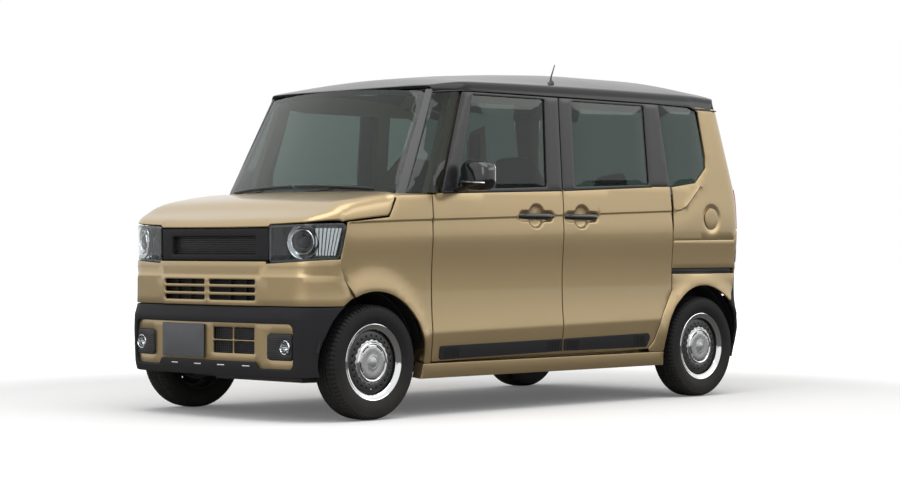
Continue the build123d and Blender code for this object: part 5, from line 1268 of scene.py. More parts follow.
class KEI_OT_rear(bpy.types.Operator):
    """Quarter panels, fuel lid, lamps, tailgate and rear bumper"""
    bl_idname = "kei.rear"
    bl_label = "Rear"

    def quarters(self, b, common):
        """Quarter panels with the sliding rails' channels, and the fuel lid in its pocket."""
        low = arch_cut(np.array(QUARTER_LOW, float), REAR_AXLE_X)
        low = np.roll(low, -int(np.argmin(np.hypot(low[:, 0] + 1609, low[:, 1] - 680))), 0)
        low = [p for p in low if p[1] < 905 and not (p[0] < -1608 and p[1] > 682)]
        face = [
            (GATE_EDGE_Y, QUARTER_TOP - 6, 1), (GATE_EDGE_Y, LAMP_HIGH + 3, 1), (LAMP_FRONT_X + 3, LAMP_HIGH + 3),
            (LAMP_FRONT_X + 3, LAMP_LOW - 3), (GATE_EDGE_Y, LAMP_LOW - 3, 1), (GATE_EDGE_Y, 681, 1),
        ]
        hole = tail_outline(ring(FUEL_X, FUEL_Z, FUEL_RADIUS + 2.5, 40))
        lines = [tail_outline(ring(FUEL_X, FUEL_Z, r, 60, 2, 358)) for r in (66, 74, 82, 88)]
        along = np.linspace(-1030, -1560, 20)
        shut = [np.column_stack([along, 870 - (along + 1300) * 0.01 + d]) for d in (-5, -2.2, 0, 2.2, 5)]
        belt = [run[(run[:, 0] < -1030) & (run[:, 0] > -1300)] for run in crease_lines()[0]]
        lines += [tail_outline(run) for run in shut + belt]
        skin = panel(quarter, tail_outline(SIDE_TO_TAIL + face + low), b.skin, holes=[hole], lines=lines, **common)
        put("quarter_skins", both(skin), "body_paint", "body", ["quarter_panels"])
        sunk = lambda by: lambda uv: quarter(uv) - [0, by, 0]
        inner = rounded([(-1015, 678), (-1602, 678), (-1602, 722), (-1015, 722)], 10)
        inner = panel(sunk(22), tail_outline(inner), 3, **common)
        rail = tail_outline([(-1030, 697), (-1590, 697), (-1590, 703), (-1030, 703)])
        rail = panel(sunk(12), rail, 10, outward=OUT, roll=1.5, edge=2)
        put("slide_rail_channels", both(joined(inner, rail)), "fine_plastic")
        at = (FUEL_X, 0, FUEL_Z)
        pocket = [(726, 56), (718, 56), (704, 54), (700, 20), (699, 1.0), (696, 1.0), (696, 60), (726, 60)]
        put("fuel_pocket", turned(pocket, at), "body_paint")
        plain = turned([(732, 57.5), (727, 57.5), (727, 1.0), (731, 1.0)], at)
        put("fuel_pocket_right", mirrored(plain), "body_paint")
        lid = [
            (735.3, 1.0), (735.0, 30), (734.2, 52), (733.2, 57.3), (731.5, 57.8), (728, 57.8), (727.2, 40),
            (727.2, 1.0),
        ]
        put("fuel_lid_skin", turned(lid, at, steps=72), "body_paint", "fuel_lid", ["fuel_lid"])

    def lamps(self, common):
        """Tail lamps: a bulged housing with three lenses."""
        y, x = GATE_EDGE_Y + 1, LAMP_FRONT_X
        edge = tail_outline([(y, LAMP_HIGH, 1), (x, LAMP_HIGH), (x, LAMP_LOW), (y, LAMP_LOW, 1)])
        housing = panel(tail(-5), rounded(edge, [6, 22, 22, 6]), 30, **common)
        put("tail_lamp_housings", both(housing), "gloss_black", "body", ["tail_lamps"], "lamp_rear")
        y = GATE_EDGE_Y + 10
        for name, finish, high, low, ahead in (
            ("tail_lamp_lenses", "red_lens", LAMP_HIGH - 74, LAMP_LOW + 190, 4),
            ("tail_turn_lenses", "amber_lens", LAMP_LOW + 180, LAMP_LOW + 98, 16),
            ("tail_reverse_lenses", "reflector", LAMP_LOW + 88, LAMP_LOW + 14, 16),
        ):
            edge = tail_outline([(y, high, 1), (x - ahead, high), (x - 16, low), (y, low, 1)])
            put(name, both(panel(tail(-7.5), rounded(edge, 9), 6, **common)), finish, slot="lamp_rear")

    def tailgate(self, b, back):
        """Tailgate: its skin and frame, spoiler, lamp, trim, plate and wiper."""
        flush = lambda depth, outline, thick, **also: panel(bowed(None, depth), outline, thick, **{**back, **also})
        lower = oblong(-GATE_Y, GATE_Y, GATE_LOW_Z, GATE_SPLIT_Z, [36, 36, 4, 4])
        lines = [level(-600, 600, 30, z) for z in (868, 873, 878)]
        hole = oblong(-176, 176, 628, 817, 14)
        gate = panel(bowed(gate_crease, 0), lower, 40, holes=[hole], lines=lines, **back)
        put("tailgate_skin", gate, "body_paint", "tailgate", ["tailgate"])
        put("plate_recess", flush(11.5, oblong(-186, 186, 618, 827, 14), 6), "dark_plastic", "tailgate")
        y = np.linspace(GATE_Y - 6, -GATE_Y + 6, 40)
        head = np.column_stack([y, roof_height(np.full(40, -1530.0), y) - 16])
        upper = np.vstack([[(-GATE_Y, GATE_SPLIT_Z + 2), (GATE_Y, GATE_SPLIT_Z + 2)], head])
        put("tailgate_frame", flush(2, upper, 36, holes=[rounded(GATE_WINDOW, 40)]), "pillar_film", "tailgate")
        y = np.linspace(-GATE_Y + 2, GATE_Y - 2, 31)
        x = np.full(len(y), -1520.0)
        for _ in range(8):
            x = tail_x(y, roof_height(x, y)) + 2
        edge = np.vstack([[(-1425, GATE_Y - 2), (-1425, -GATE_Y + 2)], np.column_stack([x, y])])
        over = lambda uv: np.column_stack([uv, roof_height(uv[:, 0], uv[:, 1])])
        spoiler = panel(over, rounded(edge, 6, 3), 22, UP, step=b.mesh_step, roll=4)
        put("spoiler_skin", spoiler, "roof_paint", "tailgate")
        put("high_stop_lamp", flush(-3, oblong(-140, 140, 1676, 1692, 5), 10, roll=2), "red_lens", "tailgate")
        trim = flush(46, rounded([(-590, 600), (590, 600), (575, 1120), (-575, 1120)], 30), 10)
        put("tailgate_trim", trim, "cabin_trim", "tailgate")
        handle = flush(-6, rounded([(-250, 832), (250, 832), (240, 858), (-240, 858)], 9), 14)
        put("tailgate_garnish", handle, "dark_plastic", "tailgate")
        plate = block((-1690.5, -164, 641), (-1686.0, 164, 804), 2)
        put("rear_plate", plate, "white_plate", "tailgate", ["number_plate_rear"])
        pin = np.array([tail_x(60.0, 1180.0) - 8, 60.0, 1180.0])
        tip = np.array([tail_x(-330.0, 1215.0) - 9, -330.0, 1215.0])
        arm = tube([pin, pin + (tip - pin) * 0.5 + [-6, 0, 6], tip], [9, 6, 4], 10)
        blade = tube([tip + [1, -120, -8], tip, tip + [3, 150, -6]], 5, 8)
        cap = lathe([(-10, 1.0), (-9, 14), (-4, 18), (10, 18), (10, 1.0)], pin, 32)
        put("rear_wiper", joined(arm, blade, cap), "fine_plastic", "tailgate")

    def execute(self, context):
        b = context.scene.kei_body
        common = dict(outward=OUT, step=b.mesh_step, roll=b.hem)
        back = dict(outward=BACKWARD, step=b.mesh_step, roll=b.hem)
        self.quarters(b, common)
        self.lamps(common)
        self.tailgate(b, back)
        skin = panel(rear_bumper, rear_bumper_outline(), 14, **{**back, "roll": 4})
        put("rear_bumper_skin", skin, "dark_plastic", "body", ["rear_bumper"])
        proud = lambda by: bowed(lambda y, z: by + rear_crest(z), 0)
        painted = rounded([(-560, 300), (560, 300), (590, 452), (-590, 452)], 28)
        put("rear_bumper_inset", panel(proud(1.5), painted, 6, **back), "body_paint")
        put("rear_reflectors", both(panel(proud(4.5), oblong(470, 540, 330, 420, 8), 6, **back)), "red_lens")
        return {"FINISHED"}


class KEI_OT_roof(bpy.types.Operator):
    """Roof, drip edges, front pillars and aerial"""
    bl_idname = "kei.roof"
    bl_label = "Roof"

    def execute(self, context):
        b = context.scene.kei_body
        lines = [level(800, -1400, 60, s * a) for s in (-1, 1) for a in (662, 676, 690, 704, 720)]
        roof = panel(roof_skin, roof_edges(), 14, UP, step=b.mesh_step * 1.4, roll=3, edge=5, lines=lines)
        put("roof_skin", roof, "roof_paint", "body", ["roof_panel"])
        path = np.array([
            (733, 1606), (700, 1611), (600, 1617), (300, 1619), (-400, 1619), (-900, 1618), (-1200, 1612),
            (-1251, 1598), (-1440, 1596),
        ], float)
        x, z = [np.interp(np.linspace(0, 1, 60), np.linspace(0, 1, len(path)), c) for c in path.T]
        drip = tube(np.column_stack([x, section(z) - front_turn(x, z) - 1, z]), 5.0, 8, flat=0.7)
        put("drip_edges", both(drip), "pillar_film")
        under = lambda uv: np.column_stack([uv, roof_height(uv[:, 0], uv[:, 1]) - 30])
        lining = rounded([(730, -540), (730, 540), (-1380, 590), (-1380, -590)], 40)
        put("headlining", panel(under, lining, 5, UP, step=80), "headlining")

        f, h = rounded(PILLAR_FOOT, [6, 5, 5, 5]), rounded(PILLAR_HEAD, [6, 5, 5, 5])
        t = np.linspace(0, 1, 16)[:, None, None]
        bow = 5 * np.sin(np.pi * t) * [0, 1] * 0.6
        rise = np.broadcast_to(1084 + (1622 - 1084) * t, (16, len(f), 1))
        pillar = closed_grid(np.concatenate([f + (h - f) * t + bow, rise], 2))
        put("pillar_skins", both(pillar), "pillar_film", "body", ["a_pillars"])

        half = [(1040, 400), (1000, 556), (962, 618), (915, 660), (856, 690), (856, 721), (1096, 721), (1100, 704)]
        ahead = [(1127 - 30 * (y / 690) ** 2, y) for y in np.linspace(640, -640, 17)]
        other = [(x, -y) for x, y in half[::-1]]
        ledge = np.array(other + [(1076, -200), (1086, 0), (1076, 200)] + half + ahead, float)

        def cowl(uv):
            y = np.abs(uv[:, 1])
            drop = 12 * ease((y - 700) / 26)
            return np.column_stack([uv, 1094 + 9 * (1 - (y / 727) ** 2) - drop - 9 * ease((uv[:, 0] - 1070) / 25)])
        put("cowl_ledge", panel(cowl, ledge, 7, UP, step=b.mesh_step * 0.8, roll=3), "body_paint")

        root = np.array([-157, 600, roof_height(-157.0, 600.0) - 3])
        mast = tube([root + [0, 0, 8], root + [-6, 0, 40], root + [-34, 0, 104]], [6.5, 4.2, 2.6], 12)
        w = np.linspace(0, 2 * np.pi, 28, endpoint=False)
        base = closed_grid(root + np.array([
            np.column_stack([r * 1.3 * np.cos(w) - 3 * k, r * np.sin(w), np.full(28, high)])
            for k, (r, high) in enumerate([(17, 0), (16, 6), (12, 13), (7.5, 18), (5, 20)])
        ]))
        y = np.linspace(-640, 640, 60)
        x = np.full(60, -1398.0)
        top = np.column_stack([x, y, roof_height(x, y) - 16])
        header = grid_shell(np.stack([top, top + [-16, 0, -30], top + [-22, 0, -66]]), 6, (-1, 0, -0.3))
        y = GATE_EDGE_Y - 2
        corner = [(y, 1584, 1), (-1466, 1584), (-1466, 1602), (690, 1622, 1), (672, 1648, 1), (y, 1668, 1)]
        corner = panel(tail(7), tail_outline(corner), 5, (-1, 0.3, 0), step=b.mesh_step, roll=1)
        put("roof_corners", joined(header, both(corner)), "pillar_film")
        put("aerial_mast", joined(mast, base), "fine_plastic", "body", ["aerial"])
        return {"FINISHED"}


# ---- Nose ----------------------------------------------------------------------------------------
BUMPER_BACK, GRILLE_BACK, LAMP_BACK = 22.0, 46.0, 42.0
BUMPER_CORNER, LAMP_CORNER = 182.0, 170.0
GUARD_LOW_Z, GUARD_TOP_Z, CREST_Z = 210.0, 548.0, 499.0
FRAME_Y, FRAME_TOP_Z, FRAME_LOW_Z = 590.0, 462.0, 262.0
INSET_EDGE = [(-353, 284), (-378, 250), (-597, 250), (-597, 468), (597, 468), (597, 250), (378, 250), (353, 284)]
FOG_Y, FOG_Z, FOG_RADIUS = 544.0, 356.0, 32.0
SLOT_ROWS, SLOT_Y, SLOT_HALF = (588.0, 626.0, 664.0), (17.0, 343.0), 12.0
NOSE_SEAM = [(1462, 773), (1459, 725), (1434, 676), (1374, 594)]
LAMP_Y, LAMP_Z, BOWL_RADIUS = 600.0, 857.0, 82.0
BONNET_ROLL_Y, BONNET_LIP, LAMP_TOP_Z = 640.0, 38.0, 938.0


def guard(uv):
    """Bumper guard over (s, z): a crest with a slope above it, and a frame that stands proud."""
    s, z = uv[:, 0], uv[:, 1]
    slope = 22 * np.clip((z - CREST_Z + 8) / 57, 0, 1) ** 1.25
    beyond = np.hypot(np.maximum(np.abs(s) - FRAME_Y, 0), np.maximum(z - FRAME_TOP_Z, 0) * 0.3)
    low = np.maximum(FRAME_LOW_Z - 10 - z, 0)
    back = slope + 11 * ease((beyond - 34) / 46) * (1 - ease((z - 490) / 60)) + 0.25 * low
    return nose(back)(uv)


def guard_lifted(by):
    """The guard's surface moved forward a little."""
    return lambda uv: guard(uv) + [by, 0, 0]


def bumper(uv):
    """Painted bumper over (s, z): a block raised round the slots and a shelf under the lamps."""
    s, z = uv[:, 0], uv[:, 1]
    raised = (1 - ease((np.abs(s) - 366) / 14)) * (1 - ease((z - 686) / 10))
    shelf = ease((z - 690 + np.clip((np.abs(s) - 620) / 6, 0, 10)) / 16) * ease((np.abs(s) - 366) / 14)
    return nose(BUMPER_BACK - 6 * raised + 5 * shelf, BUMPER_CORNER)(uv)


def front_outline(points, back, corner):
    """Front points (y, z), with side points (x, z) marked by a third number, as (s, z)."""
    return np.array([along_end([p[:2]], back, corner, by="x" if len(p) > 2 else "y")[0] for p in points])


def front_arch(high, low, count):
    """Side points, marked by a third number, down the front of the wheel arch between two heights."""
    start, end = [math.degrees(math.asin((z - ARCH_Z) / ARCH_RADIUS)) for z in (high, low)]
    return [(x, z, 1) for x, z in ring(FRONT_AXLE_X, ARCH_Z, ARCH_RADIUS, count, start, end)]


def whole(left):
    """Outline of a part of the nose from its left half."""
    return np.vstack([left, left[::-1] * [-1, 1]])


def lamp_edge_x(y, z):
    """Where the line above the headlamps lies in plan."""
    return nose_x(y, z, LAMP_BACK - 2, LAMP_CORNER)


def bonnet_surface(uv):
    """Bonnet over (x, a): its crown, then a bend down each side to the shut line."""
    x, a = uv[:, 0], uv[:, 1]
    v = np.abs(a)
    t = np.clip((v - BONNET_ROLL_Y) / 130, 0, 1)
    z0 = bonnet_top(x, np.minimum(v, BONNET_ROLL_Y))
    low = np.interp(x, [1040, 1111, 1153, 1434, 1700], [1079, 1077, 975.5, 950, 947])
    low = np.minimum(low, z0 - 12)
    wide = section(low) - 0.5
    p = [(BONNET_ROLL_Y, z0), (wide - 22, z0 - 3), (wide, z0 - 16), (wide, low)]
    b = [(1 - t) ** 3, 3 * t * (1 - t) ** 2, 3 * t**2 * (1 - t), t**3]
    y = np.where(v < BONNET_ROLL_Y, v, sum(k * q[0] for k, q in zip(b, p)))
    z = np.where(v < BONNET_ROLL_Y, bonnet_top(x, v), sum(k * q[1] for k, q in zip(b, p)))
    edge = LAMP_TOP_Z + 12 * np.maximum(y - 402, 0) / 330 - 16 * (1 - ease((y - 402) / 14))
    ahead = np.clip(1 - (lamp_edge_x(y, np.full(len(y), LAMP_TOP_Z)) - x) / BONNET_LIP, 0, 1)
    z = z - np.maximum(z - edge, 0) * (1 - np.sqrt(1 - ahead**2))
    return np.column_stack([x, np.sign(a) * y, z])


def bonnet_outline():
    """The bonnet's outline over (x, a): along the screen, the fenders and the nose's plan."""
    a = np.linspace(0, 766, 60)
    x = np.full(len(a), 1600.0)
    for _ in range(12):
        p = bonnet_surface(np.column_stack([x, a]))
        x = 0.5 * x + 0.5 * (lamp_edge_x(p[:, 1], p[:, 2]) - 1)
    front = [q for q in zip(x, a) if q[0] > 1424] + [(1424, 766), (1160, 766)]
    rear = [(1112, 766), (1106, 735)] + [(1134 - 30 * (y / 690) ** 2, y) for y in np.linspace(690, 0, 14)]
    left = front + rear
    return np.array(left[:-1] + [(x, -y) for x, y in left[:0:-1]])


def slats(low, high, rows, surface, thick, y_low, y_high):
    """Row of level bars that follow a surface between two half widths."""
    return joined(*[
        tube(surface(level(y_low, y_high, 25, z)), thick, 8, flat=0.55) for z in np.linspace(low, high, rows)
    ])


def drawn_in(surface, by):
    """A surface of the nose whose ends round the corner are moved in from the side."""
    def made(uv):
        s = uv[:, 0]
        return surface(uv) - np.column_stack([0 * s, np.sign(s) * by * ease((np.abs(s) - 560) / 110), 0 * s])
    return made


class KEI_OT_nose(bpy.types.Operator):
    """Bonnet, bumper, guard, grille and headlamps"""
    bl_idname = "kei.nose"
    bl_label = "Nose"

    def bonnet(self, step):
        """Bonnet, its mesh drawn along the bends at its sides and front."""
        lines = [level(1122, 1400, 20, k * a) for k in (-1, 1) for a in (645, 675, 695, 715, 735)]
        edge = bonnet_outline()
        front = edge[(edge[:, 0] > 1425) & (np.abs(edge[:, 1]) < 764)]
        front = front[np.argsort(front[:, 1])]
        lines += [front - [d, 0] for d in (7, 12, 19, 28, 38)]
        skin = panel(bonnet_surface, edge, 13, UP, lines=lines, step=step * 0.8, roll=3)
        put("bonnet_skin", skin, "body_paint", "bonnet", ["bonnet"])

    def bumper(self, face):
        """Painted bumper with its slots, and the duct and fins behind them."""
        seam = [(x + 1, z, 1) for x, z in NOSE_SEAM[::-1]]
        left = front_arch(591, 551, 10)[::-1] + seam + [(690, 768), (600, 762), (402, 752), (398, 763)]
        left = front_outline(left, BUMPER_BACK, BUMPER_CORNER)
        holes = [
            oblong(k * SLOT_Y[0], k * SLOT_Y[1], z - SLOT_HALF, z + SLOT_HALF, 7, 4)
            for z in SLOT_ROWS for k in (-1, 1)
        ]
        steps = [level(-800, 800, 60, z) for z in (686, 690, 695, 700, 706)]
        skin = face(bumper, whole(left), 10, holes=holes, lines=steps)
        put("bumper_skin", skin, "body_paint", "body", ["front_bumper"])
        duct = rounded([(-715, 500), (715, 500), (640, 738), (-640, 738)], 12)
        duct = face(drawn_in(nose(BUMPER_BACK + 34, BUMPER_CORNER), 14), duct, 4)
        fins = slats(588, 664, 3, nose(BUMPER_BACK + 24, BUMPER_CORNER), 4, -350, 350)
        posts = [block((1600, y - 3, 565), (1662 - y * y / 8000, y + 3, 685), 2) for y in (-260, -150, 150, 260)]
        put("bumper_duct", joined(duct, fins, *posts), "rubber_seal")

    def guard(self, face):
        """Dark guard, with a painted inset that holds the intake's mesh and the fog lamps."""
        left = front_outline(front_arch(GUARD_TOP_Z, GUARD_LOW_Z + 6, 30) + [(560, GUARD_LOW_Z)], 9, NOSE_CORNER)
        opening = rounded(INSET_EDGE, [14, 14, 34, 34, 34, 34, 14, 14])
        crest = [level(-760, 760, 60, z) for z in (486, 492, 499, 507, 516, 530)]
        crest += [level(225, 480, 16, k * s)[:, ::-1] for k in (-1, 1) for s in (622, 634, 648, 664)]
        skin = face(guard, whole(left), 16, holes=[opening], lines=crest, roll=5)
        put("guard_skin", skin, "dark_plastic", "body", ["bumper_guard"])

        bezel = oblong(429, 587, 295, 421, 18)
        holes = [oblong(*y, *z, 5, 3) for y in ((48, 190), (196, 338)) for z in ((320, 380), (386, 446))]
        holes += [bezel, bezel * [-1, 1]]
        painted = face(nose(18), inset(anticlockwise(opening), -8), 8, holes=holes, roll=2)
        put("inset_skin", painted, "body_paint")
        grid = slats(326, 440, 11, nose(30), 1.8, 48, 338)
        uprights = [
            tube(nose(31)(level(318, 448, 6, y)[:, ::-1]), 1.8, 6, up=FORWARD) for y in np.linspace(60, 326, 20)
        ]
        backing = face(nose(48), [(40, 312), (346, 312), (346, 454), (40, 454)], 3, step=60)
        put("intake_mesh", joined(grid, *uprights, backing), "fine_plastic")

        lamp_hole = ring(FOG_Y, FOG_Z, FOG_RADIUS + 0.5, 40)
        cup = face(nose(8), inset(bezel, 1.5), 34, holes=[lamp_hole], step=40, roll=2.5)
        ribs = slats(303, 413, 12, nose(7.5), 2.6, 436, 580)
        put("fog_bezels", both(joined(cup, ribs)), "fine_plastic")
        at = (float(nose_x(FOG_Y, FOG_Z, 8, NOSE_CORNER)), FOG_Y, FOG_Z)
        r = FOG_RADIUS
        collar = lathe([(4, r + 3), (6, r), (4, r - 3), (-14, r - 5), (-14, r + 3)], at, 48)
        bowl = lathe([(-12, r - 5), (-24, 16), (-27, 1), (-30, 1), (-27, 18), (-15, r - 3)], at, 48)
        put("fog_reflectors", both(joined(collar, bowl)), "chrome")
        lens = lathe([(3, 1), (1, 15), (-4, r - 4), (-7, r - 4), (-2, 15), (0, 1)], at, 48)
        put("fog_lenses", both(lens), "clear_lens")

        slits = [
            face(guard_lifted(0.8), oblong(y - 26, y + 26, 258, 266, 3.5, 3), 3, step=30, roll=1)
            for y in (-236, -52, 123, 299)
        ]
        put("guard_slits", joined(*slits), "chrome")
        tow = face(guard_lifted(0.6), oblong(468, 542, 505, 540, 6), 4, step=30, roll=1.2)
        put("tow_cover", tow, "dark_plastic")
        plate = face(nose(6), oblong(-350, -10, 293, 459, 8), 3, step=60, roll=1)
        put("front_plate", plate, "plate_face", "body", ["number_plate_front"])
        clip = joined(block((1662, -6, 300), (1676, 4, 452), 2), block((1664, 4, 330), (1678, 26, 362), 3))
        put("plate_bracket", clip, "fine_plastic")

    def grille(self, face):
        """Grille between the headlamps: a frame round level bars and a backing."""
        edge = rounded([(-402, 766), (402, 766), (406, 922), (-406, 922)], [10, 10, 8, 8])
        surround = face(nose(GRILLE_BACK - 2), edge, 30, holes=[oblong(-318, 318, 796, 884, 10)], roll=5)
        put("grille_frame", surround, "dark_plastic", "body", ["grille"])
        backing = face(nose(GRILLE_BACK + 26), oblong(-330, 330, 788, 892, 8), 4, step=60)
        bars = slats(806, 876, 8, nose(GRILLE_BACK + 14), 3.4, -318, 318)
        put("grille_bars", joined(backing, bars), "fine_plastic")

    def headlamps(self, face):
        """Headlamps: a lens over a shell with a bowl, a projector, a ribbed wing and a dark cheek."""
        corner = dict(outward=(1, 0.5, 0))
        edge = front_outline([(409, 754), (1463, 774, 1), (1428, 948, 1), (409, 936)], LAMP_BACK, LAMP_CORNER)
        edge = rounded(edge, [16, 26, 26, 16])
        lens = face(nose(LAMP_BACK - 1, LAMP_CORNER), inset(edge, 1), 3, roll=1.2, **corner)
        put("headlamp_lenses", both(lens), "clear_lens", "body", ["headlamps"])
        wall = drawn_in(nose(LAMP_BACK + 4, LAMP_CORNER - 5), 9)
        wall = face(wall, inset(edge, 2), 40, holes=[inset(edge, 12)], roll=1, **corner)
        rear = face(drawn_in(nose(LAMP_BACK + 52, LAMP_CORNER - 45), 46), inset(edge, 3), 4, roll=1, **corner)
        put("headlamp_shells", both(joined(wall, rear)), "gloss_black", slot="lamp_front")

        x, r = float(nose_x(LAMP_Y, LAMP_Z, LAMP_BACK, LAMP_CORNER)), BOWL_RADIUS
        lit = lambda profile, steps=64: lathe(profile, (x, LAMP_Y, LAMP_Z), steps)
        aimed = lambda mesh: both(spun(mesh, 20, UP, (x - 30, LAMP_Y, LAMP_Z)))
        bowl = [(-14, r), (-22, r - 8), (-40, 60), (-48, 44), (-52, 44), (-44, 62), (-26, r - 4), (-18, r + 2)]
        halo = lit([(-12, 62), (-8, 58), (-12, 54), (-20, 52), (-24, 58)])
        cone = lit([(-20, 40), (-17, 36), (-20, 32), (-46, 30), (-46, 42)])
        ball = lit([(-12, 1), (-14, 14), (-20, 24), (-28, 30), (-34, 30), (-34, 1)], 48)
        put("headlamp_bowls", aimed(joined(lit(bowl), halo)), "chrome")
        put("headlamp_cones", aimed(cone), "fine_plastic", slot="lamp_front")
        put("headlamp_projectors", aimed(ball), "clear_lens")

        back, radius = LAMP_BACK + 20, LAMP_CORNER - 16
        low, high = [
            np.linspace(680, end, 8) for end in front_outline([(1478, 786, 1), (1448, 928, 1)], back, radius)[:, 0]
        ]
        strips = [
            [(low[k] + 2, 790), (low[k + 1] - 2, 790), (high[k + 1] - 2, 922), (high[k] + 2, 922)] for k in range(7)
        ]
        wing = drawn_in(nose(back, radius), 16)
        wing = joined(*[face(wing, rounded(strip, 3), 4, outward=(1, 1, 0), roll=1.5) for strip in strips])
        put("headlamp_wings", both(wing), "reflector")
        back, radius = LAMP_BACK + 14, LAMP_CORNER - 10
        cheek = front_outline([(414, 762), (528, 768), (500, 860), (470, 930), (414, 928)], back, radius)
        cheek = face(nose(back, radius), rounded(cheek, [10, 10, 40, 10, 10]), 20, roll=3)
        put("headlamp_cheeks", both(cheek), "dark_plastic")

    def execute(self, context):
        b = context.scene.kei_body
        common = dict(outward=FORWARD, step=b.mesh_step, roll=b.hem)
        face = lambda surface, outline, thick, **also: panel(surface, outline, thick, **{**common, **also})
        self.bonnet(b.mesh_step)
        for part in (self.bumper, self.guard, self.grille, self.headlamps):
            part(face)
        return {"FINISHED"}


# ---- Glass, handles, mouldings, mirrors and wipers -----------------------------------------------
FRONT_MOULDING = [(800, 275), (800, 344), (-104, 354), (-104, 290)]
REAR_MOULDING = [(-120, 290), (-120, 354), (-836, 366), (-796, 290)]
SCREEN_OUTLINE = [(-638, 1108), (638, 1108), (584, 1636), (-584, 1636)]
MIRROR, MIRROR_HALF, MIRROR_POWER = (652.0, 845.0, 1186.0), (46.0, 95.0, 75.0), 3.4


def grown(points, by, radius=WINDOW_FILLET):
    """Rounded outline moved outwards."""
    return inset(anticlockwise(rounded(points, radius)), -by)


def signed_power(v, k):
    """Values raised to a power with their signs kept."""
    return np.sign(v) * np.abs(v) ** k


def mirror_shell():
    """Door mirror's shell: superellipses along y, full behind and rounded in front."""
    t = np.sin(np.radians(np.linspace(-90, 90, 33)))[:, None]
    w = np.radians(np.linspace(0, 360, 56, endpoint=False))[None]
    s = (1 - np.abs(t) ** MIRROR_POWER * 0.999) ** (1 / MIRROR_POWER)
    cx, cz = signed_power(np.cos(w), 0.62), signed_power(np.sin(w), 0.5)
    x = MIRROR[0] + MIRROR_HALF[0] * np.where(cx < 0, cx * np.minimum(s * 1.15, 1), cx * s)
    y = MIRROR[1] + MIRROR_HALF[1] * t + 0 * w
    z = MIRROR[2] + MIRROR_HALF[2] * cz * s - 6 * t + 0 * w
    return closed_grid(np.stack([x, y, z], -1))


def mirror_foot():
    """Foot of the door mirror: a flattened stalk that rises out of the door."""
    u = np.linspace(0, 1, 14)[:, None]
    w = np.radians(np.linspace(0, 360, 28, endpoint=False))[None]
    x, z = 650 + (58 - 18 * u) * np.cos(w) + 0 * w, 1117 + 22 * u**1.5 + (15 - 2 * u) * np.sin(w)
    return closed_grid(np.stack([x, 722 + 62 * u + 0 * w, z], -1))


def mirror_strip():
    """Bright strip along the front of the door mirror's shell."""
    t = np.linspace(-0.84, 0.86, 30)
    s = (1 - np.abs(t) ** MIRROR_POWER) ** (1 / MIRROR_POWER)
    x = MIRROR[0] + MIRROR_HALF[0] * s * 0.93 + 1
    return tube(np.column_stack([x, MIRROR[1] + MIRROR_HALF[1] * t, MIRROR[2] - 34 - 6 * t]), 4.5, 10)


def mirror_face(uv):
    """Mirror's glass over (y, z) from its middle, slightly domed."""
    x = MIRROR[0] - MIRROR_HALF[0] - 1.5 + (uv**2).sum(1) / 9000
    return np.column_stack([x, MIRROR[1] + uv[:, 0], MIRROR[2] + uv[:, 1]])


def bar_handle(x):
    """Pull handle over a cup: a flattened bar bowed out of the skin, its ends sunk in it."""
    u = np.linspace(-1, 1, 40)
    y = section(np.full(40, HANDLE_Z)) + 12 - 24 * np.abs(u) ** 5
    thick = 15.5 * (1 - 0.25 * np.abs(u) ** 3)
    return tube(np.column_stack([x + 131 * u, y, HANDLE_Z + 0 * u]), thick, 20, flat=0.5, up=OUT)


def upright_ribs(low, high, z0, z1, count):
    """Row of upright ribs on a door's moulding."""
    lines = [level(z0 + 8, z1 - 8, 8, x)[:, ::-1] for x in np.linspace(low, high, count)]
    return [tube(side(line) + [0, 7, 0], 3.2, 8) for line in lines]


def belt_seal(low, high):
    """Seal along the foot of a door's window."""
    x = np.linspace(low, high, 30)
    z = np.interp(x, [-1000, -850, -120, 780], [1164, 1162, 1129, 1102])
    return tube(side(np.column_stack([x, z])) - [0, 1, 0], 6, 10)


class KEI_OT_glass(bpy.types.Operator):
    """Every pane, with the dark border of the windscreen and the tailgate's glass"""
    bl_idname = "kei.glass"
    bl_label = "Glass"

    def execute(self, context):
        pane = lambda depth, outline: panel(side_at(depth), outline, 4, OUT, step=120, roll=1.2)
        front = pane(9, grown(FRONT_WINDOW, 8))
        for name, fix in HANDS:
            glass = "front_door_glass_" + name
            put("door_glass_" + name, fix(front), "tinted_glass", "front_door_" + name, [glass])
        put("rear_door_panes", both(pane(7, grown(REAR_WINDOW, 8))), "tinted_glass", "body", ["rear_door_glass"])
        fixed = joined(pane(7, grown(FIXED_PANE, -1, 6)), pane(8, grown(QUARTER_PANE, 9, 16)))
        put("fixed_panes", both(fixed), "tinted_glass", "body", ["fixed_side_glass"])
        edge, ahead = rounded(SCREEN_OUTLINE, 40), (1, 0, 0.6)
        screen = panel(bowed_screen(0), edge, 5, ahead, step=90, roll=1.2)
        put("windscreen_pane", screen, "screen_glass", "body", ["windscreen"])
        hole = inset(anticlockwise(edge), 26)[::-1]
        border = panel(bowed_screen(5.4), edge, 1, ahead, holes=[hole], step=60, roll=0.4)
        put("windscreen_border", border, "rubber_seal", slot="gloss_black")
        back = panel(bowed(None, 9), grown(GATE_WINDOW, 9, 40), 4, BACKWARD, step=90, roll=1.2)
        put("tailgate_pane", back, "tinted_glass", "tailgate", ["tailgate_glass"])
        return {"FINISHED"}


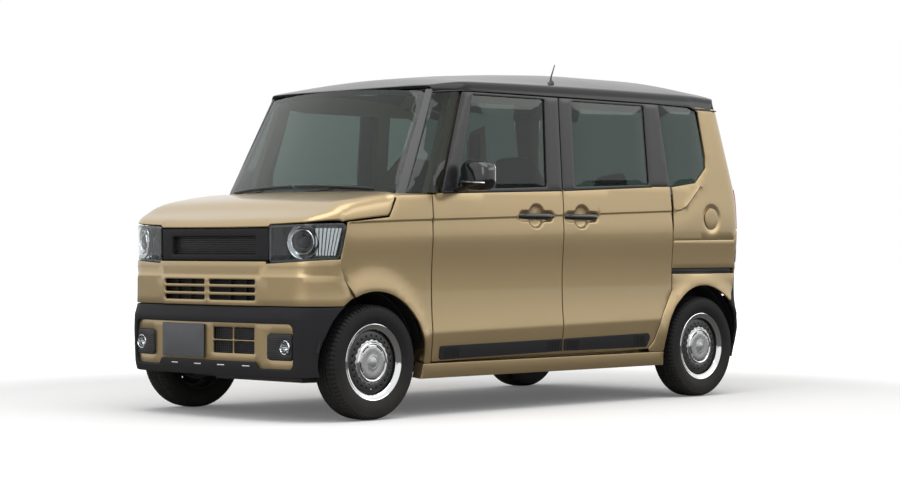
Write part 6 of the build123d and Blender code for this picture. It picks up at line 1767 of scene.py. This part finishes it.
class KEI_OT_fittings(bpy.types.Operator):
    """Door handles, side mouldings, belt seals, mirrors and windscreen wipers"""
    bl_idname = "kei.fittings"
    bl_label = "Fittings"

    def execute(self, context):
        b = context.scene.kei_body
        proud = lambda outline: panel(side_at(-6.5), outline, 9, OUT, step=b.mesh_step, roll=3)
        ribs = upright_ribs(668, 768, 276, 344, 7) + upright_ribs(-76, 4, 290, 353, 6)
        front = joined(proud(rounded(FRONT_MOULDING, [14, 14, 8, 8])), *ribs)
        ribs = upright_ribs(-228, -148, 290, 354, 6) + upright_ribs(-770, -690, 290, 362, 6)
        rear = joined(proud(rounded(REAR_MOULDING, [8, 8, 26, 20])), *ribs)
        seal = belt_seal(-112, 776)
        at = (HANDLE_XS[0] - 118, section(HANDLE_Z) + 1, HANDLE_Z)
        lock = turned([(0, 0.5), (0, 10), (4, 10), (5.5, 8), (5.5, 0.5)], at, 32)
        handle = joined(bar_handle(HANDLE_XS[0]), lock)
        for name, fix in HANDS:
            body = "front_door_" + name
            put("door_moulding_" + name, fix(front), "dark_plastic", body)
            put("belt_seal_" + name, fix(seal), "rubber_seal", body)
            put("door_handle_" + name, fix(handle), "gloss_black", body)
        put("rear_door_mouldings", both(rear), "dark_plastic")
        put("rear_belt_seals", both(belt_seal(-842, -122)), "rubber_seal")
        put("rear_door_handles", both(bar_handle(HANDLE_XS[1])), "gloss_black")

        shell = joined(mirror_shell(), mirror_foot())
        strip = mirror_strip()
        face = rounded([(-82, -62), (-82, 60), (80, 60), (80, -62)], 26)
        face = panel(mirror_face, face, 4, BACKWARD, step=30, roll=1.5)
        for name, fix in HANDS:
            body = "front_door_" + name
            put("mirror_shell_" + name, fix(shell), "gloss_black", body, ["mirror_" + name])
            put("mirror_trim_" + name, fix(strip), "chrome", body, slot="gloss_black")
            put("mirror_face_" + name, fix(face), "chrome", body, slot="gloss_black")

        blades = []
        for pivot, tip in ((-560, -40), (-20, 500)):
            y = np.linspace(pivot, tip, 30)
            lift = 1122 + 14 * (1 - (y / 640.0) ** 2)
            blades.append(tube(bowed_screen(-8)(np.column_stack([y, lift])), 4, 8, flat=1.5))
            base = bowed_screen(-6)(np.array([[pivot, 1096.0]]))[0]
            mid = bowed_screen(-12)(np.array([[(pivot + tip) / 2, 1124.0]]))[0]
            k = np.linspace(0, 1, 20)[:, None]
            arm = base + (mid - base) * k + [2, 0, 1] * np.sin(np.pi * k)
            blades.append(tube(arm, 5 - 2 * k[:, 0], 10, flat=0.6))
            blades.append(turned([(-10, 0.5), (-10, 15), (6, 15), (10, 11), (10, 0.5)], base, 28))
        put("screen_wipers", joined(*blades), "fine_plastic")
        return {"FINISHED"}


# ---- Wheels --------------------------------------------------------------------------------------
TREAD_ROWS = [0.0, 2.4, 3.0, 18.5, 19.1, 23.4, 24.0, 40.0, 44.0, 44.6, 50.0, 56.0, 62.0, 67.0]
WALL = [
    (71.5, 262), (74, 254), (76, 246), (76.6, 243), (77.5, 232), (77.3, 222), (76, 210), (74.4, 207), (72.5, 198),
    (68, 189), (64.5, 184.5), (60, 181), (56, 176), (50, 178), (54, 190), (62, 215), (60, 245), (48, 262), (0, 266),
]
BARREL = [
    (64, 186), (61, 189), (57, 187), (55, 178), (40, 177), (22, 166), (-28, 166), (-44, 177), (-55, 178), (-57, 187),
    (-61, 189), (-64, 186), (-61, 182), (-58, 174), (-48, 170), (-30, 160), (14, 159), (34, 165), (50, 171),
    (58, 176), (61, 181),
]
TRIM_RING = [
    (61, 188), (64.5, 187), (66.2, 183), (64.8, 178), (60, 172), (57, 166), (55.5, 160), (52.5, 157), (48, 158),
    (50, 164), (54, 172), (57, 179),
]
PITCHES = 76


def tyre(centre):
    """Tyre: its closed section turned round the axle, with grooves and slots sunk in the tread."""
    half = [(a, WHEEL_Z - 0.0011 * a**2 - 7.5 * max(0.0, (a - 52) / 15) ** 2) for a in TREAD_ROWS]
    right = np.array(half + WALL)
    profile = np.vstack([right, (right * [-1, 1])[-2:0:-1]])
    angle = np.radians(360 / PITCHES) * (np.arange(PITCHES)[:, None] + np.array([0, 0.04, 0.74, 0.78])).ravel()
    in_slot = np.tile([1.0, 0.0, 0.0, 1.0], PITCHES)[None]
    a, radius = profile[:, :1], profile[:, 1:]
    across, row = np.abs(a), np.arange(len(profile))[:, None]
    outer = (radius > 262) & ((row < 18) | (row > len(profile) - 18))
    groove = (across < 2.5) | ((across > 18.8) & (across < 23.6))
    slot = (across > 44.3) & (across < 68)
    sipe = (across >= 5) & (across < 18.6) | (across > 23.8) & (across < 44.2)
    r = radius - outer * (6.5 * groove + 5.0 * slot * in_slot + 2.2 * sipe * in_slot)
    grid = np.stack([r * np.cos(angle), np.broadcast_to(a, r.shape), r * np.sin(angle)], -1) + centre
    return looped_grid(grid, centre)


def dished(radii, depths, centre):
    """Wheel face over (x, z): its depth along the axle by the distance from the middle."""
    def surface(uv):
        depth = np.interp(np.hypot(uv[:, 0], uv[:, 1]), radii, depths)
        return np.column_stack([centre[0] + uv[:, 0], centre[1] + depth, centre[2] + uv[:, 1]])
    return surface


def arc_slot(middle, reach, low, high, steps=14):
    """Outline of a slot bent round the wheel's middle, with round ends."""
    w = np.radians(np.linspace(middle - reach, middle + reach, steps))
    way = np.column_stack([np.cos(w), np.sin(w)])
    k = np.radians(np.linspace(20, 160, 7))[:, None]
    r, m = (high - low) / 2, (high + low) / 2

    def end(radial, onward):
        return m * radial + r * np.cos(k) * radial + r * np.sin(k) * np.array([-radial[1], radial[0]]) * onward
    return np.vstack([high * way, end(way[-1], 1), low * way[::-1], end(way[0], -1)[::-1]])


def rim_pieces(centre):
    """Steel wheel, left side: barrel with flanges, dark holed disc, bright ring and hub cap."""
    lathed = lambda *profile, steps=96: turned(profile, centre, steps)
    face = lambda radii, depths, outline, holes, **also: panel(
        dished(radii, depths, centre), outline, 4, OUT, holes=holes, **also)
    w = np.radians(np.linspace(0, 360, 24, endpoint=False))
    holes = [ring(128 * math.cos(a), 128 * math.sin(a), 5.2, 14) for a in w] + [ring(0, 0, 56, 40)]
    disc = face(
        [50, 96, 106, 120, 140, 158, 162], [42, 42, 46, 47, 45, 38, 30], ring(0, 0, 160, 120), holes,
        step=13, edge=3, roll=1)
    a = np.radians(np.linspace(0, 360, 240, endpoint=False))
    scalloped = (107 + 2.6 * np.cos(20 * a))[:, None] * np.column_stack([np.cos(a), np.sin(a)])
    scallop = face([80, 98, 112], [47, 51, 48.5], scalloped, [ring(0, 0, 84, 60)], step=12, edge=1.6, roll=1.2)
    slots = [arc_slot(m, 15, 77, 83) for m in (-90, -18, 54, 126, 198)]
    cap = face(
        [0, 26, 34, 60, 80, 88], [59, 58.7, 56.6, 57.5, 57, 54.5], ring(0, 0, 88, 90), slots,
        step=11, edge=3, roll=1.5)
    edge = lathed((50, 97), (54.5, 97), (58, 94), (59, 90), (57.5, 86.5), (50, 86))
    well = lathed((50, 0.5), (50, 86), (46, 86), (46, 0.5), steps=64)
    boss = lathed((57, 0.5), (57, 25), (60.5, 24), (61.2, 21), (61.6, 0.5), steps=64)
    groove = lathed((57, 32), (59.6, 31.5), (59.6, 28.5), (57, 28), steps=64)
    hub = lathed((-20, 0.5), (-20, 58), (43, 58), (43, 0.5), steps=48)
    drum = lathed((-40, 0.5), (-40, 132), (-34, 138), (-4, 138), (2, 132), (2, 0.5), steps=64)
    return {
        "steel": ("rim_dark", lathed(*BARREL)), "ring": ("chrome", joined(lathed(*TRIM_RING), edge)),
        "disc": ("rim_dark", joined(disc, hub, drum)), "scallop": ("rim_steel", scallop),
        "cap": ("rim_steel", joined(cap, boss, groove)), "well": ("fine_plastic", well),
    }


class KEI_OT_wheels(bpy.types.Operator):
    """Rims with their rings and hub caps, and treaded tyres"""
    bl_idname = "kei.wheels"
    bl_label = "Wheels"

    def execute(self, context):
        for end, x in (("front", FRONT_AXLE_X), ("rear", REAR_AXLE_X)):
            centre = np.array([x, WHEEL_Y, WHEEL_Z])
            parts, rubber = rim_pieces(centre), tyre(centre)
            for name, fix in HANDS:
                label = end + "_" + name
                body = "wheel_" + label
                for key, (finish, mesh) in parts.items():
                    stands = ["rim_" + label] if key == "steel" else []
                    put("wheel_%s_%s" % (key, label), fix(mesh), finish, body, stands, "rim", sharp=28)
                put("tread_" + label, fix(rubber), "tyre_rubber", body, ["tyre_" + label], sharp=28)
        return {"FINISHED"}


# ---- Cabin ---------------------------------------------------------------------------------------
DRIVER_Y, FRONT_SEAT_Y, REAR_SEAT_Y = -330.0, 320.0, 262.0
STEERING_HUB, STEERING_AXIS = np.array([690.0, DRIVER_Y, 985.0]), np.array([-0.80, 0.0, 0.60])
DASH_PROFILE = [(792, 1000), (804, 1056), (860, 1080), (985, 1086), (985, 880), (905, 800), (850, 806)]
CHANNELS = [(-0.56, "x"), (0.56, "x"), (-0.3, "y"), (0.1, "y"), (0.5, "y")]
ORIGIN = (0, 0, 0)


def cushion(centre, size, tilt, crown, channels, wings=0.0):
    """Crowned pad over a sphere's angles: a rounded block with sewn channels, wings and a piped seam.

    size is (length, width, thickness) and the thickness points up before the pad tilts about y.
    """
    lat = np.radians(np.linspace(-90, 90, 49))[:, None]
    lon = np.radians(np.linspace(0, 360, 112, endpoint=False))[None]
    flat = np.cos(lat) ** 0.30
    x = flat * signed_power(np.cos(lon), 0.42)
    y = flat * signed_power(np.sin(lon), 0.42)
    z = signed_power(np.sin(lat), 0.72) + 0 * lon
    up = ease((z + 0.15) / 0.6)
    pinch = 1 - 0.035 * (1 - np.abs(z)) * (1 - np.minimum(np.abs(x), np.abs(y)) ** 2)
    wing = np.clip((np.abs(y) - 0.58) / 0.3, 0, 1) ** 1.5 * (1 - np.clip((np.abs(y) - 0.9) / 0.1, 0, 1))
    lift = crown * (1 - x**2) * (1 - y**2) * up + wings * wing * up
    for place, along in channels:
        lift = lift - 9.0 * np.exp(-(((x if along == "y" else y) - place) / 0.035) ** 2) * up
    seam = 1 + 0.014 * np.exp(-((z - 0.35) / 0.05) ** 2) - 0.010 * np.exp(-((z - 0.26) / 0.04) ** 2)
    p = np.stack([x * size[0] / 2 * pinch * seam, y * size[1] / 2 * pinch * seam, z * size[2] / 2 + lift], -1)
    return moved(spun(closed_grid(p), tilt, OUT, ORIGIN), centre)


class KEI_OT_seats(bpy.types.Operator):
    """Two front seats and a rear bench in cloth, with their plinths"""
    bl_idname = "kei.seats"
    bl_label = "Seats"

    def execute(self, context):
        for row, y, low, low_size, low_tilt, high, high_size, high_tilt, head, head_width in (
            ("front", FRONT_SEAT_Y, (232, 488), (520, 486, 150), -2.5, (-72, 845), (600, 480, 128), -74.0,
             (-178, 1238), 240),
            ("rear", REAR_SEAT_Y, (-672, 512), (425, 505, 140), -2.0, (-952, 850), (560, 500, 108), -76.0,
             (-1040, 1196), 210),
        ):
            plinths, posts = [], []
            for name, k in (("left", 1), ("right", -1)):
                at = lambda place: (place[0], k * y, place[1])
                head_size = (150, head_width, 84)
                for part, mesh in (
                    ("cushion", cushion(at(low), low_size, low_tilt, 16, CHANNELS, 16)),
                    ("backrest", cushion(at(high), high_size, high_tilt, 12, CHANNELS, 18)),
                    ("headrest", cushion(at(head), head_size, -84.0, 8, [(0.0, "x")])),
                ):
                    stands = [row + "_seats"] if part == "cushion" else []
                    pad = put("%s_%s_%s" % (row, part, name), mesh, "seat_cloth", "body", stands, sharp=60)
                    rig.padded(pad, fill=0.8)
            for k in (-1, 1):
                long, wide = low_size[0] / 2, low_size[1] / 2
                foot, top = (low[0] - long + 30, k * y - wide + 40, 246), (low[0] + long - 50, k * y + wide - 40, 425)
                plinths.append(block(foot, top, 22))
                for d in (-48, 48):
                    a = np.array([head[0] + 14, k * y + d, head[1] - 30])
                    posts.append(tube([a, a + [6, 0, -50], a + [16, 0, -110]], 5, 10, up=OUT))
            put(row + "_seat_plinths", joined(*plinths), "cabin_plastic")
            put(row + "_headrest_posts", joined(*posts), "chrome", slot="interior")
        return {"FINISHED"}


def dashboard():
    """Dashboard: its section carried across the car, bowed, with a hood over the driver's dials."""
    edge = anticlockwise(rounded(DASH_PROFILE, [14, 22, 40, 12, 10, 40, 20], 7))
    y = np.concatenate([[-596, -592], np.linspace(-580, 580, 60), [592, 596]])[:, None]
    shrink = np.where(np.abs(y) > 595, 0.96, 1.0)
    middle = edge.mean(0)
    hood = 34 * np.exp(-(((y - DRIVER_Y) / 150) ** 4))
    rise = hood * ease((edge[None, :, 1] - 1040) / 30) * ease((930 - edge[None, :, 0]) / 90)
    bow = 26 * (y / 596) ** 2 * ease((880 - edge[None, :, 0]) / 60)
    x = middle[0] + (edge[None, :, 0] - middle[0]) * shrink + bow
    z = middle[1] + (edge[None, :, 1] - middle[1]) * shrink + rise
    return closed_grid(np.stack([x, y + 0 * x, z], -1))


def steering():
    """Steering wheel with three spokes on its column."""
    w = np.linspace(0, 2 * np.pi, 18, endpoint=False)
    parts = [
        lathe([(14 * math.cos(k), 174 + 13.5 * math.sin(k)) for k in w], ORIGIN, 80),
        lathe([(-30, 1), (-30, 40), (2, 58), (10, 52), (14, 30), (15, 1)], ORIGIN, 56),
    ]
    for a in (90, 210, 270):
        c, s = math.cos(math.radians(a)), math.sin(math.radians(a))
        spoke = [(0, 30 * c, 30 * s), (2, 100 * c, 100 * s), (0, 168 * c, 168 * s)]
        parts.append(tube(spoke, [22, 15, 17], 14, flat=0.45, up=(0, -s, c)))
    turn = math.degrees(math.atan2(-STEERING_AXIS[2], STEERING_AXIS[0]))
    wheel = moved(spun(joined(*parts), turn, OUT, ORIGIN), STEERING_HUB)
    column = [STEERING_HUB + STEERING_AXIS * k for k in (-20.0, -60.0, -120.0, -190.0)]
    return joined(wheel, tube(column, [36, 46, 50, 44], 24, up=OUT))


class KEI_OT_cabin(bpy.types.Operator):
    """Dashboard, steering wheel, door cards and carpet"""
    bl_idname = "kei.cabin"
    bl_label = "Cabin"

    def execute(self, context):
        shelf = block((800, -10, 905), (880, 560, 925), 8)
        put("dash_skin", joined(dashboard(), shelf), "cabin_plastic", "body", ["dashboard"])
        vents = [
            block((786, m - 58, 1010 + 7 * k), (800, m + 58, 1013 + 7 * k), 1.2)
            for m in (-540, -90, 90, 540) for k in range(5)
        ]
        put("dash_vents", joined(*vents), "fine_plastic", slot="interior")
        put("dash_display", block((768, -118, 1042), (784, 118, 1168), 7), "gloss_black", slot="interior")
        put("dash_band", block((789, -20, 962), (800, 560, 980), 5), "cabin_trim")
        put("steering_wheel", steering(), "cabin_plastic")
        stalk = tube([(800, -60, 930), (770, -60, 915), (735, -60, 930)], [9, 9, 8], 14, up=OUT)
        put("shift_lever", joined(stalk, block((712, -80, 915), (742, -40, 965), 14)), "cabin_plastic")

        card = lambda outline, fillet: panel(side_at(40), rounded(outline, fillet), 12, OUT, step=60, roll=5)
        front = joined(
            card([(800, 330), (770, 1075), (-70, 1090), (-70, 330)], 50),
            block((60, 612, 700), (560, 690, 756), 20), block((120, 640, 350), (640, 692, 480), 16),
        )
        for name, fix in HANDS:
            put("door_card_" + name, fix(front), "cabin_trim", "front_door_" + name)
        rear = card([(-165, 330), (-165, 1095), (-890, 1120), (-900, 640), (-810, 330)], 40)
        rest = block((-560, 620, 700), (-200, 690, 750), 20)
        put("rear_door_cards", both(joined(rear, rest)), "cabin_trim")
        pile = lambda uv: np.column_stack([uv, 250 + 0.6 * np.sin(uv[:, 0] / 40)])
        mat = rounded([(940, -560), (940, 560), (-930, 560), (-930, -560)], 60)
        put("cabin_carpet", panel(pile, mat, 8, UP, step=90, roll=3), "carpet")
        return {"FINISHED"}


class KEI_PT_panel(bpy.types.Panel):
    """Builds the car piece by piece"""
    bl_idname = "KEI_PT_panel"
    bl_label = "Kei Car"
    bl_space_type = "VIEW_3D"
    bl_region_type = "UI"
    bl_category = "Kei Car"

    def draw(self, context):
        for group in (context.scene.kei_paint, context.scene.kei_body, context.scene.kei_stage):
            for name in group.__annotations__:
                self.layout.prop(group, name)
        for operator in OPERATORS:
            self.layout.operator(operator.bl_idname)


SETTINGS = {"kei_paint": KeiPaint, "kei_body": KeiBody, "kei_stage": KeiStage}
OPERATORS = [c for c in list(globals().values()) if isinstance(c, type) and issubclass(c, bpy.types.Operator)]


def register():
    """Registers the settings, the operators and the panel."""
    for name, group in SETTINGS.items():
        bpy.utils.register_class(group)
        setattr(bpy.types.Scene, name, PointerProperty(type=group))
    for operator in OPERATORS:
        bpy.utils.register_class(operator)
    bpy.utils.register_class(KEI_PT_panel)


def unregister():
    """Takes them out again."""
    bpy.utils.unregister_class(KEI_PT_panel)
    for operator in OPERATORS[::-1]:
        bpy.utils.unregister_class(operator)
    for name, group in SETTINGS.items():
        delattr(bpy.types.Scene, name)
        bpy.utils.unregister_class(group)


def main():
    """Builds everything in order and writes both boxes."""
    register()
    for operator in OPERATORS:
        kind, name = operator.bl_idname.split(".")
        getattr(getattr(bpy.ops, kind), name)()
    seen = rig.bounds()
    with open("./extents.json", "w") as out:
        json.dump({"cad": [list(p) for p in CAD_BOX], "visual": [list(p) for p in seen]}, out)


if __name__ == "__main__":
    main()
